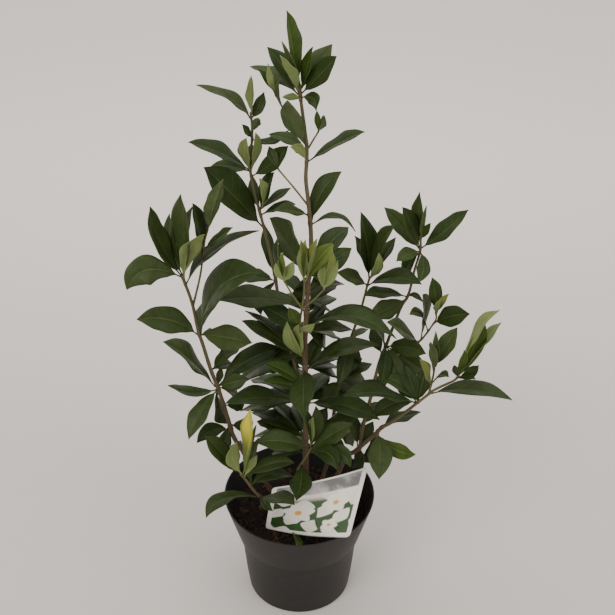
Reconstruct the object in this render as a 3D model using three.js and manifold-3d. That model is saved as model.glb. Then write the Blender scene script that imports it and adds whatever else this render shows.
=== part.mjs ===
// Potted gardenia: a nursery pot of soil, a plant label on its stake, and six leafy shoots.
// Millimetres, +Z up, origin at the centre of the pot's flat base, the label on the -Y side.
import * as THREE from "three";
import { mergeVertices } from "three/addons/utils/BufferGeometryUtils.js";
import Module from "manifold-3d";

const wasm = await Module();
wasm.setup();

// Pot: outer radius and height of each bend of its wall, from the base up to the rim
const POT_WALL = 2.0;
const POT_FLOOR = 2.5;
const POT_SIDES = 26;
const POT_OUTSIDE = [[64, 0], [65.5, 2], [68.4, 24], [72.4, 66], [74.8, 87], [78, 90], [95, 150]];
const DRAIN = { count: 6, ring: 44, radius: 4 };

// Soil: its top lies below the rim, in low lumps that never rise above this height
const SOIL_TOP = 122;
const SOIL_LUMP = 2.4;
const GAP = 0.35;
const HOLE_DEPTH = 36;
const HOLE_SIDES = 8;
const ABOVE = 9;
const BARK = { count: 6, seed: 7, ring: 78, long: [5, 12], wide: [3, 6], thick: 2.2, sunk: 0.9, tilt: 0.18 };

// Label card: its four corners as readings (see seen), about how wide and high that makes it, its
// thickness, how far it bows, how round its corners are, and the stake under it
const CARD = {
  lowLeft: [-44, 86, -42], lowRight: [65.5, 70.5, -86], topRight: [85.5, 192.5, -40],
  topLeft: [-34, 157, -52],
  wide: 110, high: 90, thick: 0.9, bow: -5, round: 5, across: 8, up: 2,
};
const STAKE = { across: 0.52, wide: 7, thick: 2.2, deep: 20 };

// Stems have five sides; a blade is this thick, its stalk this wide and sunk this far into the stem.
// A blade's full width is a share of its length, and one whose natural pose is turned further from
// the eye than the last number (a cosine) shows its underside.
const STEM_SIDES = 5;
const STEM_STEP = 46;
const STEM_STRAIGHT = 4;
const BLADE = 0.9;
const STALK = 1.5;
const SUNK = 0.7;
const FULL_WIDTH = { mature: 0.38, young: 0.3 };
const UNDERSIDE_FROM = -0.5;

// The place of every stem and leaf is read in the upright plane through the trunk (y = 0), as it is
// seen by an eye in front of the plant and above it. A depth y then slides the point along its line
// of sight, so the plant keeps the outline it has from there.
const EYE = [0, -1200, 1265];

// Where a blade is bent along its length, by the length from which it has that many bends
const BENDS = [[0, [0, 0.52, 1]], [44, [0, 0.3, 0.66, 1]], [92, [0, 0.24, 0.5, 0.76, 1]]];

// Blade forms by age: how far the halves fold up, how far the midrib arches or hooks, as shares of
// the blade's half width and length. "m" is a mature leaf, "g" a growing one, "y" a young folded one,
// "p" a young one that curls back and shows its pale underside.
const FORMS = {
  m: { fold: 0.22, arch: 0.07 },
  y: { fold: 0.55, arch: -0.03 },
  g: { fold: 0.35, arch: -0.02 },
  p: { fold: -0.25, arch: -0.1 },
};

// Each stem: its name, what it grows from ("soil" or another stem), its foot in the soil [x, y],
// its girth low and high, and its course as readings [x, z, depth]. Each leaf: the reading of its
// base x, z, the reading of its tip x, z, depth, its width as seen, its age and, where its midrib
// leaves the plain arch, the reading x, z of its middle.
const STEMS = [
  {
    name: "leader", from: "soil", foot: [6, 4], girth: [8.4, 3.4],
    course: [[8, 190, 3], [8, 295, 0], [7, 346, -2], [7, 400, -2], [11, 480, -1], [13, 522, 0], [12, 545, 0],
      [9, 580, 0], [7, 600, 0], [8, 635, 0], [5, 665, 1], [1, 698, 2], [0, 712, 2]],
    leaves: [
      [0, 708, -12, 789, 0, 15, "g", -7, 752],
      [0, 706, -17, 757, -10, 6, "g"],
      [0, 704, -19, 742, -20, 8, "y"],
      [0, 708, 1, 750, 14, 6, "m"],
      [0, 700, -32, 751, 22, 18, "m", -16, 729],
      [0, 698, -50, 730, 34, 14, "m", -25, 720],
      [1, 706, 13, 751, -8, 9, "g"],
      [1, 704, 33, 754, 24, 20, "m", 18, 732],
      [1, 700, 37, 741, -18, 20, "m", 23, 723],
      [1, 696, 17, 681, -28, 14, "m", 14, 695],
      [2, 694, -18, 696, -16, 8, "p", -8, 697],
      [7, 643, -12, 693, -26, 20, "m", -7, 665],
      [7, 622, -10, 639, -18, 11, "p", 0, 637],
      [8, 623, 68, 657, -16, 14, "m", 40, 643],
      [12, 548, 45, 610, 20, 21, "m", 24, 585],
      [12, 546, 62, 535, 4, 7, "m", 41, 554],
      [11, 556, -28, 562, -26, 12, "m"],
      [11, 481, -32, 553, -30, 24, "m", -14, 521],
      [11, 480, 54, 541, 46, 22, "m", 34, 520],
      [11, 478, 58, 514, 20, 24, "m"],
      [10, 455, 51, 466, 44, 14, "m"],
      [10, 455, 34, 488, 30, 18, "m"],
      [7, 400, -46, 440, 20, 22, "m"],
      [9, 440, -97, 445, -8, 24, "m", -45, 446],
      [8, 425, 38, 449, 60, 22, "m"],
      [8, 407, 113, 390, -34, 17, "m", 57, 422],
      [7, 366, -62, 430, 40, 14, "m", -30, 403],
      [7, 366, -66, 416, 6, 16, "m", -32, 393],
      [7, 366, -14, 415, -26, 16, "p"],
      [7, 366, 6, 416, -34, 13, "p"],
      [7, 346, 5, 269, -86, 27, "m", 5, 316],
      [7, 346, 95, 380, 14, 22, "m", 50, 375],
      [7, 346, -18, 380, 40, 15, "m"],
      [7, 346, 42, 352, 60, 18, "m", 26, 352],
      [8, 322, -41, 354, -14, 15, "g", -18, 343],
      [8, 322, -43, 328, -26, 12, "g", -20, 324],
      [8, 296, -89, 294, -34, 23, "m", -42, 302],
      [8, 296, 98, 268, -40, 24, "m", 53, 290],
      [8, 296, -12, 352, 86, 23, "m"],
      [8, 296, 32, 340, 72, 24, "m"],
      [8, 240, -52, 266, 44, 22, "m"],
      [8, 240, 34, 288, 20, 20, "m"],
      [8, 214, -34, 214, 40, 20, "m"],
      [8, 214, 10, 256, 80, 20, "m"],
      [8, 425, -24, 450, 66, 18, "m"],
      [7, 400, 30, 374, 60, 20, "m"],
      [7, 400, 62, 402, 20, 17, "m", 36, 407],
      [7, 346, 27, 400, 26, 17, "m"],
      [7, 366, -74, 324, 44, 24, "m", -40, 352],
      [8, 296, -72, 282, 48, 22, "m", -34, 294],
      [8, 296, -58, 330, 84, 20, "m"],
      [8, 240, -8, 292, 60, 18, "m"],
      [8, 240, 74, 272, -12, 20, "m", 46, 266],
      [8, 214, 56, 226, 14, 20, "m", 34, 234],
    ],
  },
  {
    name: "high_twig", from: "leader", girth: [2.6, 1.8],
    course: [[6, 643, 1], [-8, 667, -4], [-18, 686, -8], [-24, 699, -8]],
    leaves: [
      [-24, 699, -42, 728, 0, 9, "m"],
      [-24, 699, -32, 733, -14, 7, "y"],
      [-22, 694, -25, 720, 4, 8, "m"],
      [-20, 690, -20, 717, -18, 6, "m"],
    ],
  },
  {
    name: "cross_twig", from: "leader", girth: [2.4, 1.8],
    course: [[11, 566, 0], [-5, 589, 8], [-22, 612, 14]],
    leaves: [
      [-22, 612, -32, 640, 30, 12, "m"],
    ],
  },
  {
    name: "right_twig", from: "leader", girth: [2.4, 1.8],
    course: [[8, 635, 0], [14, 646, -5], [20, 657, -8]],
    leaves: [
      [20, 657, 18, 681, -4, 7, "g"],
      [20, 657, 26, 676, -16, 7, "m"],
    ],
  },
  {
    name: "upper_left", from: "leader", girth: [5.0, 2.4],
    course: [[8, 302, 0], [-5, 350, 8], [-15, 400, 16], [-24, 450, 22], [-27, 475, 24], [-33, 510, 27],
      [-39, 542, 30], [-46, 575, 32], [-52, 612, 32], [-49, 655, 31], [-50, 678, 31]],
    leaves: [
      [-50, 672, -105, 710, 36, 11, "m", -69, 693],
      [-49, 678, -49, 720, 28, 10, "y"],
      [-50, 672, -36, 702, 40, 13, "m", -42, 685],
      [-49, 658, -42, 673, 14, 10, "g"],
      [-50, 650, -59, 665, 16, 8, "g"],
      [-52, 612, -55, 650, 8, 12, "p", -57, 631],
      [-52, 612, -46, 656, 16, 11, "p", -46, 634],
      [-49, 648, -11, 659, 24, 11, "m", -28, 646],
      [-51, 604, -12, 640, 18, 21, "m", -27, 622],
      [-52, 612, -116, 645, 12, 17, "m", -83, 632],
      [-52, 610, -94, 616, 62, 16, "m"],
      [-39, 542, -101, 615, 8, 32, "m", -73, 583],
      [-43, 562, -27, 609, 18, 15, "m", -36, 588],
      [-43, 562, -43, 602, 6, 8, "p"],
      [-43, 562, -9, 590, 44, 11, "m", -24, 579],
      [-42, 558, -4, 570, 22, 10, "m", -22, 566],
      [-28, 480, -38, 545, 56, 16, "m", -35, 512],
      [-27, 470, -66, 476, 58, 18, "m"],
    ],
  },
  {
    name: "front_shoot", from: "leader", girth: [3.4, 2.2],
    course: [[7, 352, -2], [3, 385, -24], [1, 415, -38], [3, 432, -44], [5, 450, -48], [6, 470, -50]],
    leaves: [
      [6, 470, 7, 525, -42, 13, "p"],
      [6, 470, 38, 519, -46, 18, "y", 24, 503],
      [6, 470, 2, 524, -58, 7, "y"],
      [6, 470, 19, 526, -62, 7, "y"],
      [1, 410, -12, 434, -56, 14, "g"],
      [1, 405, 18, 412, -60, 10, "p"],
    ],
  },
  {
    name: "front_left_twig", from: "front_shoot", girth: [2.4, 1.8],
    course: [[3, 432, -44], [-8, 452, -50], [-17, 470, -52]],
    leaves: [
      [-17, 470, -27, 494, -46, 12, "p"],
      [-17, 470, -6, 497, -50, 12, "p"],
      [-17, 470, -19, 508, -58, 7, "y"],
      [-17, 470, -24, 528, -40, 9, "m"],
    ],
  },
  {
    name: "front_right_twig", from: "front_shoot", girth: [2.4, 1.8],
    course: [[3, 432, -44], [15, 443, -50], [28, 459, -54]],
    leaves: [
      [28, 459, 28, 498, -46, 14, "p"],
      [28, 459, 43, 498, -50, 13, "p"],
      [28, 459, 37, 511, -60, 8, "y"],
    ],
  },
  {
    name: "left_shoot", from: "soil", foot: [-30, 12], girth: [7.0, 3.4],
    course: [[-60, 200, 6], [-80, 240, 0], [-87, 272, -4], [-97, 318, -9], [-104, 343, -12], [-113, 385, -17],
      [-116, 397, -18], [-122, 440, -23], [-131, 476, -28]],
    leaves: [
      [-131, 476, -195, 458, -52, 33, "m", -171, 485],
      [-131, 476, -161, 567, -14, 20, "m", -155, 523],
      [-131, 476, -141, 558, 6, 18, "m", -141, 518],
      [-131, 476, -128, 582, -30, 15, "m", -126, 532],
      [-131, 476, -115, 568, -8, 14, "m"],
      [-130, 474, -104, 532, -50, 17, "p", -122, 513],
      [-128, 466, -44, 537, 10, 13, "m", -96, 509],
      [-116, 397, -187, 417, -34, 31, "m", -150, 417],
      [-116, 397, -43, 483, -64, 31, "m", -92, 459],
      [-116, 397, -55, 384, -58, 30, "m", -84, 392],
      [-97, 320, -92, 349, 4, 9, "m"],
      [-97, 320, -60, 332, -14, 20, "m"],
      [-116, 397, -94, 452, 52, 18, "m"],
      [-98, 320, -158, 386, -34, 14, "m", -129, 360],
      [-97, 316, -156, 322, -36, 15, "m", -130, 310],
      [-97, 316, -136, 237, -56, 20, "m"],
      [-97, 316, -86, 262, 22, 16, "m"],
      [-97, 320, -18, 377, 22, 27, "m", -58, 360],
      [-83, 255, -126, 231, -40, 19, "m", -107, 252],
      [-84, 258, -56, 262, 30, 18, "m"],
      [-84, 258, -94, 222, 0, 17, "m"],
      [-90, 290, -66, 292, 14, 16, "m"],
      [-70, 215, -86, 226, 50, 16, "m"],
    ],
  },
  {
    name: "left_fork", from: "left_shoot", girth: [2.8, 1.8],
    course: [[-121, 436, -22], [-111, 478, -18], [-108, 496, -15], [-104, 523, -11], [-100, 538, -9]],
    leaves: [
      [-107, 502, -115, 571, 0, 11, "m", -110, 543],
      [-100, 538, -81, 601, -8, 17, "g", -93, 567],
      [-104, 512, -73, 541, -18, 11, "m", -89, 527],
      [-101, 536, -98, 566, 6, 8, "m"],
    ],
  },
  {
    name: "low_left_shoot", from: "soil", foot: [-34, -30], girth: [5.0, 3.0],
    course: [[-45, 138, -46], [-53, 146, -53], [-59, 155, -58], [-68, 172, -66], [-73, 180, -69]],
    leaves: [
      [-73, 180, -115, 242, -66, 22, "m", -98, 217],
      [-73, 180, -77, 233, -86, 17, "p", -84, 210],
      [-72, 178, -60, 284, -72, 13, "y", -59, 236],
      [-70, 175, -52, 212, -60, 10, "p", -60, 196],
      [-70, 175, -53, 260, -50, 8, "g"],
      [-51, 144, -120, 105, -92, 19, "m", -95, 139],
      [-50, 143, -6, 128, -104, 20, "m", -27, 139],
      [-51, 144, -34, 117, -80, 11, "m"],
      [-70, 175, -6, 199, -62, 19, "m", -36, 197],
      [-62, 160, -8, 176, -26, 20, "m", -36, 180],
    ],
  },
  {
    name: "low_front_shoot", from: "soil", foot: [4, -26], girth: [4.2, 2.4],
    course: [[-2, 188, -42], [8, 208, -46], [14, 221, -48], [15, 227, -48]],
    leaves: [
      [15, 227, 17, 273, -52, 11, "p", 15, 252],
      [15, 225, 20, 290, -38, 16, "m"],
      [15, 225, 0, 290, -44, 10, "m"],
      [14, 221, -55, 232, -66, 26, "m", -20, 234],
      [14, 221, 65, 262, -52, 24, "m", 40, 245],
      [2, 197, -4, 135, -98, 26, "m", 2, 166],
      [14, 221, 64, 191, -78, 21, "m", 48, 217],
      [13, 218, 47, 187, -90, 22, "m", 36, 214],
    ],
  },
  {
    name: "middle_right_shoot", from: "soil", foot: [26, 30], girth: [6.0, 2.6],
    course: [[35, 200, 34], [47, 330, 40], [52, 360, 41], [60, 392, 42], [70, 430, 44], [77, 466, 46],
      [79, 475, 46]],
    leaves: [
      [79, 475, 67, 560, 52, 22, "m", 75, 515],
      [79, 475, 61, 530, 70, 12, "m"],
      [79, 475, 104, 543, 38, 14, "m", 89, 516],
      [79, 475, 106, 528, 66, 15, "m", 95, 506],
      [79, 475, 88, 508, 26, 11, "p"],
      [77, 466, 42, 482, 26, 16, "m", 60, 475],
      [77, 466, 138, 466, 10, 17, "m", 105, 475],
      [59, 388, 46, 322, 0, 20, "m"],
      [59, 388, 80, 404, 74, 8, "m"],
      [47, 330, 74, 362, 68, 14, "m"],
      [47, 330, 78, 330, 70, 20, "m"],
      [47, 330, 28, 296, 14, 20, "m"],
      [40, 256, 66, 250, 72, 20, "m"],
    ],
  },
  {
    name: "right_shoot", from: "soil", foot: [36, 2], girth: [7.6, 2.6],
    course: [[60, 212, -4], [68, 217, -6], [82, 233, -10], [93, 245, -13], [100, 256, -16], [108, 261, -18],
      [121, 273, -22], [133, 285, -26], [142, 295, -29], [152, 305, -32], [157, 311, -34], [171, 321, -37],
      [184, 329, -39], [190, 337, -40]],
    leaves: [
      [157, 311, 256, 299, -66, 20, "m", 204, 315],
      [100, 256, 147, 281, 22, 13, "m", 122, 271],
      [141, 295, 53, 306, -76, 20, "m", 97, 309],
      [142, 296, 124, 352, -6, 20, "m"],
      [142, 296, 150, 350, -8, 19, "m"],
      [96, 249, 100, 171, -66, 30, "m", 100, 214],
      [93, 245, 144, 213, -34, 19, "g", 122, 219],
      [188, 334, 211, 351, -48, 13, "m", 203, 341],
      [188, 334, 182, 352, -30, 8, "m"],
      [188, 333, 209, 331, -62, 8, "m"],
      [190, 337, 213, 416, -30, 17, "g", 203, 376],
      [190, 337, 193, 373, -52, 9, "g"],
      [190, 337, 233, 413, -22, 8, "p", 215, 384],
      [190, 337, 229, 430, -44, 6, "p", 206, 396],
      [74, 223, 66, 190, 20, 18, "m"],
      [74, 223, 90, 266, 12, 16, "m"],
      [74, 223, 58, 286, 26, 16, "m"],
      [141, 295, 90, 272, -20, 22, "m", 112, 293],
      [141, 295, 92, 334, -4, 18, "m", 118, 325],
    ],
  },
  {
    name: "right_up_twig", from: "right_shoot", girth: [3.0, 2.0],
    course: [[155, 310, -33], [159, 341, -38], [159, 350, -38]],
    leaves: [
      [159, 345, 153, 386, -54, 8, "g"],
      [159, 350, 158, 401, -40, 9, "g"],
      [159, 348, 182, 406, -22, 19, "m", 171, 380],
      [157, 325, 142, 360, -54, 10, "y"],
      [157, 326, 177, 334, -56, 7, "m", 168, 337],
    ],
  },
  {
    name: "right_tall_stem", from: "right_shoot", girth: [5.0, 2.6],
    course: [[74, 224, -8], [78, 260, 2], [85, 300, 12], [92, 345, 22], [97, 368, 26], [101, 380, 28],
      [107, 403, 31], [117, 437, 36], [123, 450, 38], [129, 486, 42], [134, 513, 44], [133, 528, 44]],
    leaves: [
      [134, 513, 92, 566, 60, 20, "m", 113, 540],
      [134, 515, 112, 566, 34, 16, "m", 122, 542],
      [133, 526, 129, 585, 52, 16, "m", 130, 550],
      [133, 526, 137, 568, 34, 4, "g"],
      [134, 514, 183, 563, 46, 20, "m", 160, 537],
      [133, 526, 143, 546, 32, 9, "g"],
      [133, 510, 108, 497, 12, 15, "m", 120, 506],
      [133, 510, 133, 468, 6, 16, "m", 139, 488],
      [123, 450, 74, 450, 14, 16, "m", 95, 454],
      [121, 446, 79, 421, -4, 24, "m", 100, 432],
      [100, 378, 84, 407, 4, 6, "m"],
      [101, 380, 148, 368, -14, 24, "m", 126, 378],
      [101, 380, 96, 322, -18, 17, "m"],
      [101, 380, 124, 328, -8, 18, "m"],
      [97, 368, 136, 352, 56, 20, "m"],
      [101, 380, 152, 338, 16, 24, "m"],
      [123, 450, 141, 441, 38, 7, "m", 131, 451],
      [133, 508, 118, 474, 52, 14, "m", 121, 491],
    ],
  },
  {
    name: "right_middle_twig", from: "right_tall_stem", girth: [3.2, 2.0],
    course: [[93, 350, 23], [115, 366, 14], [140, 387, 6], [153, 409, 2], [157, 418, 1], [156, 428, 0]],
    leaves: [
      [156, 428, 149, 475, 6, 16, "m", 154, 453],
      [156, 428, 169, 453, -8, 8, "y"],
      [156, 426, 160, 446, -16, 6, "y"],
      [155, 413, 195, 425, -26, 25, "m", 174, 422],
      [142, 390, 140, 452, -8, 11, "m", 143, 430],
      [149, 402, 126, 424, -10, 7, "m", 138, 425],
      [138, 386, 101, 414, -18, 15, "m", 119, 402],
    ],
  },
];

// Vectors, and the slide of a reading along its line of sight

const vec = (x, y, z) => new THREE.Vector3(x, y, z);

// The point at depth y that lies behind the reading (x, z), as seen from the eye
function seen(x, z, y) {
  const share = (y - EYE[1]) / -EYE[1];
  return vec(EYE[0] + share * (x - EYE[0]), y, EYE[2] + share * (z - EYE[2]));
}

// The part of a direction that stands square to an axis, at unit length
function squareTo(direction, axis) {
  return direction.clone().addScaledVector(axis, -direction.dot(axis)).normalize();
}

// Meshes and solids

// A closed mesh from corner points and triangles, as a solid that can be joined and cut
function toSolid(geometry) {
  const bare = geometry.clone();
  bare.deleteAttribute("normal");
  bare.deleteAttribute("uv");
  const merged = mergeVertices(bare, 1e-4);
  return new wasm.Manifold(new wasm.Mesh({
    numProp: 3,
    vertProperties: new Float32Array(merged.attributes.position.array),
    triVerts: new Uint32Array(merged.index.array),
  }));
}

function meshGeometry(points, triangles) {
  const geometry = new THREE.BufferGeometry();
  const flat = points.flatMap((p) => [p.x, p.y, p.z]);
  geometry.setAttribute("position", new THREE.Float32BufferAttribute(flat, 3));
  geometry.setIndex(triangles.flat());
  return geometry;
}

function toGeometry(solid) {
  const mesh = solid.getMesh();
  const geometry = new THREE.BufferGeometry();
  geometry.setAttribute("position", new THREE.BufferAttribute(mesh.vertProperties, 3));
  geometry.setIndex(new THREE.BufferAttribute(mesh.triVerts, 1));
  return geometry;
}

// The solid's largest body: loose scraps go, and so do the walls of sealed hollows
function mainBody(solid) {
  const bodies = solid.decompose();
  return bodies.reduce((a, b) => (b.volume() > a.volume() ? b : a));
}

// Rings of points with the same count each, joined into a closed skin. Its start is flat; its end is
// flat too, or drawn in to a point.
function loft(rings, point) {
  const sides = rings[0].length;
  const triangles = [];
  for (let i = 0; i + 1 < rings.length; i += 1) {
    for (let j = 0; j < sides; j += 1) {
      const a = i * sides + j;
      const b = i * sides + ((j + 1) % sides);
      triangles.push([a, b, b + sides], [a, b + sides, a + sides]);
    }
  }
  const last = (rings.length - 1) * sides;
  for (let j = 1; j + 1 < sides; j += 1) {
    triangles.push([0, j + 1, j]);
    if (point === undefined) triangles.push([last, last + j, last + j + 1]);
  }
  if (point === undefined) return meshGeometry(rings.flat(), triangles);
  for (let j = 0; j < sides; j += 1) {
    triangles.push([last + j, last + ((j + 1) % sides), last + sides]);
  }
  return meshGeometry([...rings.flat(), point], triangles);
}

// Stems

// A stem's course as a smooth line of readings; one that grows from another starts on its axis
function stemLine(stem, made) {
  const course = stem.course.map(([x, z, y]) => vec(x, y, z));
  if (stem.from !== "soil") {
    course[0] = nearest(made.get(stem.from), course[0].x, course[0].z).reading;
  }
  const line = new THREE.CatmullRomCurve3(course, false, "centripetal");
  const count = Math.max(8, Math.round(line.getLength() / 2));
  return line.getSpacedPoints(count);
}

// The sample of a stem's line whose reading lies nearest to (x, z), with its place and direction
function nearest(line, x, z) {
  let best = 0;
  const far = (p) => (p.x - x) ** 2 + (p.z - z) ** 2;
  line.forEach((p, i) => {
    if (far(p) < far(line[best])) best = i;
  });
  const place = (p) => seen(p.x, p.z, p.y);
  const low = line[Math.max(0, best - 4)];
  const high = line[Math.min(line.length - 1, best + 4)];
  return {
    reading: line[best],
    share: best / (line.length - 1),
    point: place(line[best]),
    along: place(high).sub(place(low)).normalize(),
  };
}

// A stem's thickness at a share of the way up it
function girthAt(stem, share) {
  return THREE.MathUtils.lerp(...stem.girth, share);
}

// A ring of points round a stem's centre, square to the way it grows
function stemRing(centre, along, radius) {
  const across = squareTo(vec(1, 0, 0), along);
  const front = along.clone().cross(across);
  return Array.from({ length: STEM_SIDES }, (_, j) => {
    const angle = (2 * Math.PI * (j + 0.5)) / STEM_SIDES;
    return centre.clone()
      .addScaledVector(across, radius * Math.cos(angle))
      .addScaledVector(front, radius * Math.sin(angle));
  });
}

// A tapered stem. One that stands in the soil rises straight out of its hole before it leans.
function stemSolid(stem, line) {
  const course = line.map((p) => seen(p.x, p.z, p.y));
  const rings = [];
  if (stem.from === "soil") {
    const [x, y] = stem.foot;
    const up = vec(0, 0, 1);
    course.unshift(vec(x, y, SOIL_TOP + STEM_STRAIGHT));
    rings.push(stemRing(vec(x, y, SOIL_TOP - HOLE_DEPTH + 2), up, stem.girth[0] / 2));
    rings.push(stemRing(course[0], up, stem.girth[0] / 2));
  }
  const curve = new THREE.CatmullRomCurve3(course, false, "centripetal");
  const steps = Math.max(2, Math.round(curve.getLength() / STEM_STEP));
  for (let i = stem.from === "soil" ? 1 : 0; i <= steps; i += 1) {
    const share = i / steps;
    rings.push(stemRing(curve.getPointAt(share), curve.getTangentAt(share), girthAt(stem, share) / 2));
  }
  return toSolid(loft(rings));
}

// Leaves

// Half the outline's width at a share of the way from base to tip: a wedge base, widest past the
// middle, and a drawn-out tip
function outline(share) {
  return Math.sin(Math.PI * share ** 1.22) ** 0.9 * (1 - 0.3 * share ** 6);
}

// The blade's frame. Its upper face looks up the stem in the natural pose; from there it is rolled
// about its own chord till it shows the width that was read, its full width being a share of its
// length. A pale leaf shows its underside, so it is rolled to the far pose.
function bladePose(root, tip, along, seenWidth, age) {
  const chord = tip.clone().sub(root);
  const length = chord.length();
  chord.normalize();
  const natural = squareTo(along, chord);
  const middle = root.clone().lerp(tip, 0.5);
  const toEye = squareTo(vec(...EYE).sub(middle).normalize(), chord);
  const beside = chord.clone().cross(toEye);
  const width = Math.max(seenWidth, FULL_WIDTH[age === "m" ? "mature" : "young"] * length);
  const roll = Math.acos(Math.min(1, seenWidth / width));
  const shows = age === "p" || natural.dot(toEye) < UNDERSIDE_FROM ? -1 : 1;
  const leans = natural.dot(beside) < 0 ? -1 : 1;
  const face = toEye.clone().multiplyScalar(shows * Math.cos(roll));
  face.addScaledVector(beside, leans * Math.sin(roll));
  return { length, width, face };
}

// A blade as rings of six points: left edge, middle and right edge on its upper face, then back
// along its underside. Both faces are split alike.
function leafSolid(row, stem, line) {
  const [baseX, baseZ, tipX, tipZ, tipY, seenWidth, age, overX, overZ] = row;
  const { reading, share: height, point: axis, along } = nearest(line, baseX, baseZ);
  const tip = seen(tipX, tipZ, tipY);
  const bark = girthAt(stem, height) / 2 - SUNK;
  const root = axis.clone().addScaledVector(squareTo(tip.clone().sub(axis), along), bark);
  const { length, width, face } = bladePose(root, tip, along, seenWidth, age);
  const form = FORMS[age];
  const middle = overX === undefined
    ? root.clone().lerp(tip, 0.5).addScaledVector(face, form.arch * length)
    : seen(overX, overZ, 0.5 * (reading.y + tipY));
  const bend = middle.clone().multiplyScalar(2).addScaledVector(root, -0.5).addScaledVector(tip, -0.5);
  const midrib = new THREE.QuadraticBezierCurve3(root, bend, tip);
  const [, shares] = BENDS.findLast(([least]) => length >= least);
  const rings = shares.slice(0, -1).map((share) => {
    const forward = midrib.getTangent(share);
    const up = squareTo(face, forward);
    const across = forward.clone().cross(up);
    const half = Math.max(STALK / 2, 0.5 * width * outline(share));
    const rise = form.fold * (half - STALK / 2);
    const centre = midrib.getPoint(share);
    const at = (side, lift) => centre.clone().addScaledVector(across, side).addScaledVector(up, lift);
    return [
      at(-half, rise + BLADE / 2), at(0, BLADE / 2), at(half, rise + BLADE / 2),
      at(half, rise - BLADE / 2), at(0, -BLADE / 2), at(-half, rise - BLADE / 2),
    ];
  });
  return toSolid(loft(rings, tip));
}

// Pot, soil and label

function latheSolid(profile) {
  const points = profile.map(([radius, height]) => new THREE.Vector2(radius, height));
  const lathe = new THREE.LatheGeometry(points, POT_SIDES);
  lathe.rotateX(Math.PI / 2);
  return toSolid(lathe);
}

// A round bar along Z between two heights
function barSolid(x, y, radius, low, high, sides) {
  const bar = new THREE.CylinderGeometry(radius, radius, high - low, sides);
  bar.rotateX(Math.PI / 2);
  bar.translate(x, y, (low + high) / 2);
  return toSolid(bar);
}

// The inside of the pot, a given distance in from its outer wall, from its floor up to a height
function potInside(distance, low, high) {
  const profile = [[0, low]];
  const wall = POT_OUTSIDE.map(([radius, height]) => [radius - distance, height]);
  const radiusAt = (height) => {
    const next = wall.findIndex(([, h]) => h >= height);
    const [r0, h0] = wall[next - 1];
    const [r1, h1] = wall[next];
    return r0 + ((r1 - r0) * (height - h0)) / (h1 - h0);
  };
  profile.push([radiusAt(low), low]);
  wall.filter(([, h]) => h > low + 0.5 && h < high - 0.5).forEach((bend) => profile.push(bend));
  profile.push([radiusAt(high), high], [0, high]);
  return profile;
}

function potSolid() {
  const outside = [[0, 0], ...POT_OUTSIDE, [0, POT_OUTSIDE.at(-1)[1]]];
  const rim = POT_OUTSIDE.at(-1)[1];
  const inside = potInside(POT_WALL, POT_FLOOR, rim);
  inside.splice(-1, 1, [inside.at(-1)[0] + 0.2, rim + 1], [0, rim + 1]);
  let pot = latheSolid(outside).subtract(latheSolid(inside));
  for (let i = 0; i < DRAIN.count; i += 1) {
    const angle = (2 * Math.PI * i) / DRAIN.count;
    const x = DRAIN.ring * Math.cos(angle);
    const y = DRAIN.ring * Math.sin(angle);
    pot = pot.subtract(barSolid(x, y, DRAIN.radius, -1, POT_FLOOR + 1, 16));
  }
  return pot;
}

// A seeded draw between 0 and 1
function seededDraw(seed) {
  let state = seed;
  return () => {
    state = (state * 16807) % 2147483647;
    return state / 2147483647;
  };
}

// The soil fills the pot up to its top, a gap short of the wall. Its top is cut into low lumps, chips
// of bark stand out of it, and each stem and the stake stand in a plain hole.
function soilSolid(feet, stakeFoot) {
  let soil = latheSolid(potInside(POT_WALL + GAP, POT_FLOOR + GAP, SOIL_TOP - SOIL_LUMP));
  const draw = seededDraw(BARK.seed);
  const height = SOIL_TOP - SOIL_LUMP + BARK.thick / 2 - BARK.sunk;
  for (let i = 0; i < BARK.count; i += 1) {
    const long = THREE.MathUtils.lerp(...BARK.long, draw());
    const wide = THREE.MathUtils.lerp(...BARK.wide, draw());
    const ring = BARK.ring * Math.sqrt(draw());
    const angle = 2 * Math.PI * draw();
    const chip = new THREE.BoxGeometry(long, wide, BARK.thick);
    chip.rotateX(BARK.tilt * (draw() - 0.5));
    chip.rotateZ(Math.PI * draw());
    chip.translate(ring * Math.cos(angle), ring * Math.sin(angle), height);
    soil = soil.add(toSolid(chip));
  }
  feet.forEach(({ x, y, radius }) => {
    soil = soil.subtract(barSolid(x, y, radius + GAP, SOIL_TOP - HOLE_DEPTH, SOIL_TOP + ABOVE, HOLE_SIDES));
  });
  const low = SOIL_TOP - STAKE.deep - GAP;
  const high = SOIL_TOP + ABOVE;
  const slot = new THREE.BoxGeometry(STAKE.wide + 2 * GAP, STAKE.thick + 2 * GAP, high - low);
  slot.translate(stakeFoot.x, stakeFoot.y, (low + high) / 2);
  return mainBody(soil.subtract(toSolid(slot)));
}

// A point of the card's mid surface: its corners blended, with a shallow bow across its width
function cardPoint(across, up) {
  const corner = ([x, z, y]) => seen(x, z, y);
  const low = corner(CARD.lowLeft).lerp(corner(CARD.lowRight), across);
  const top = corner(CARD.topLeft).lerp(corner(CARD.topRight), across);
  const point = low.lerp(top, up);
  point.y += CARD.bow * Math.sin(Math.PI * across);
  return point;
}

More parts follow.
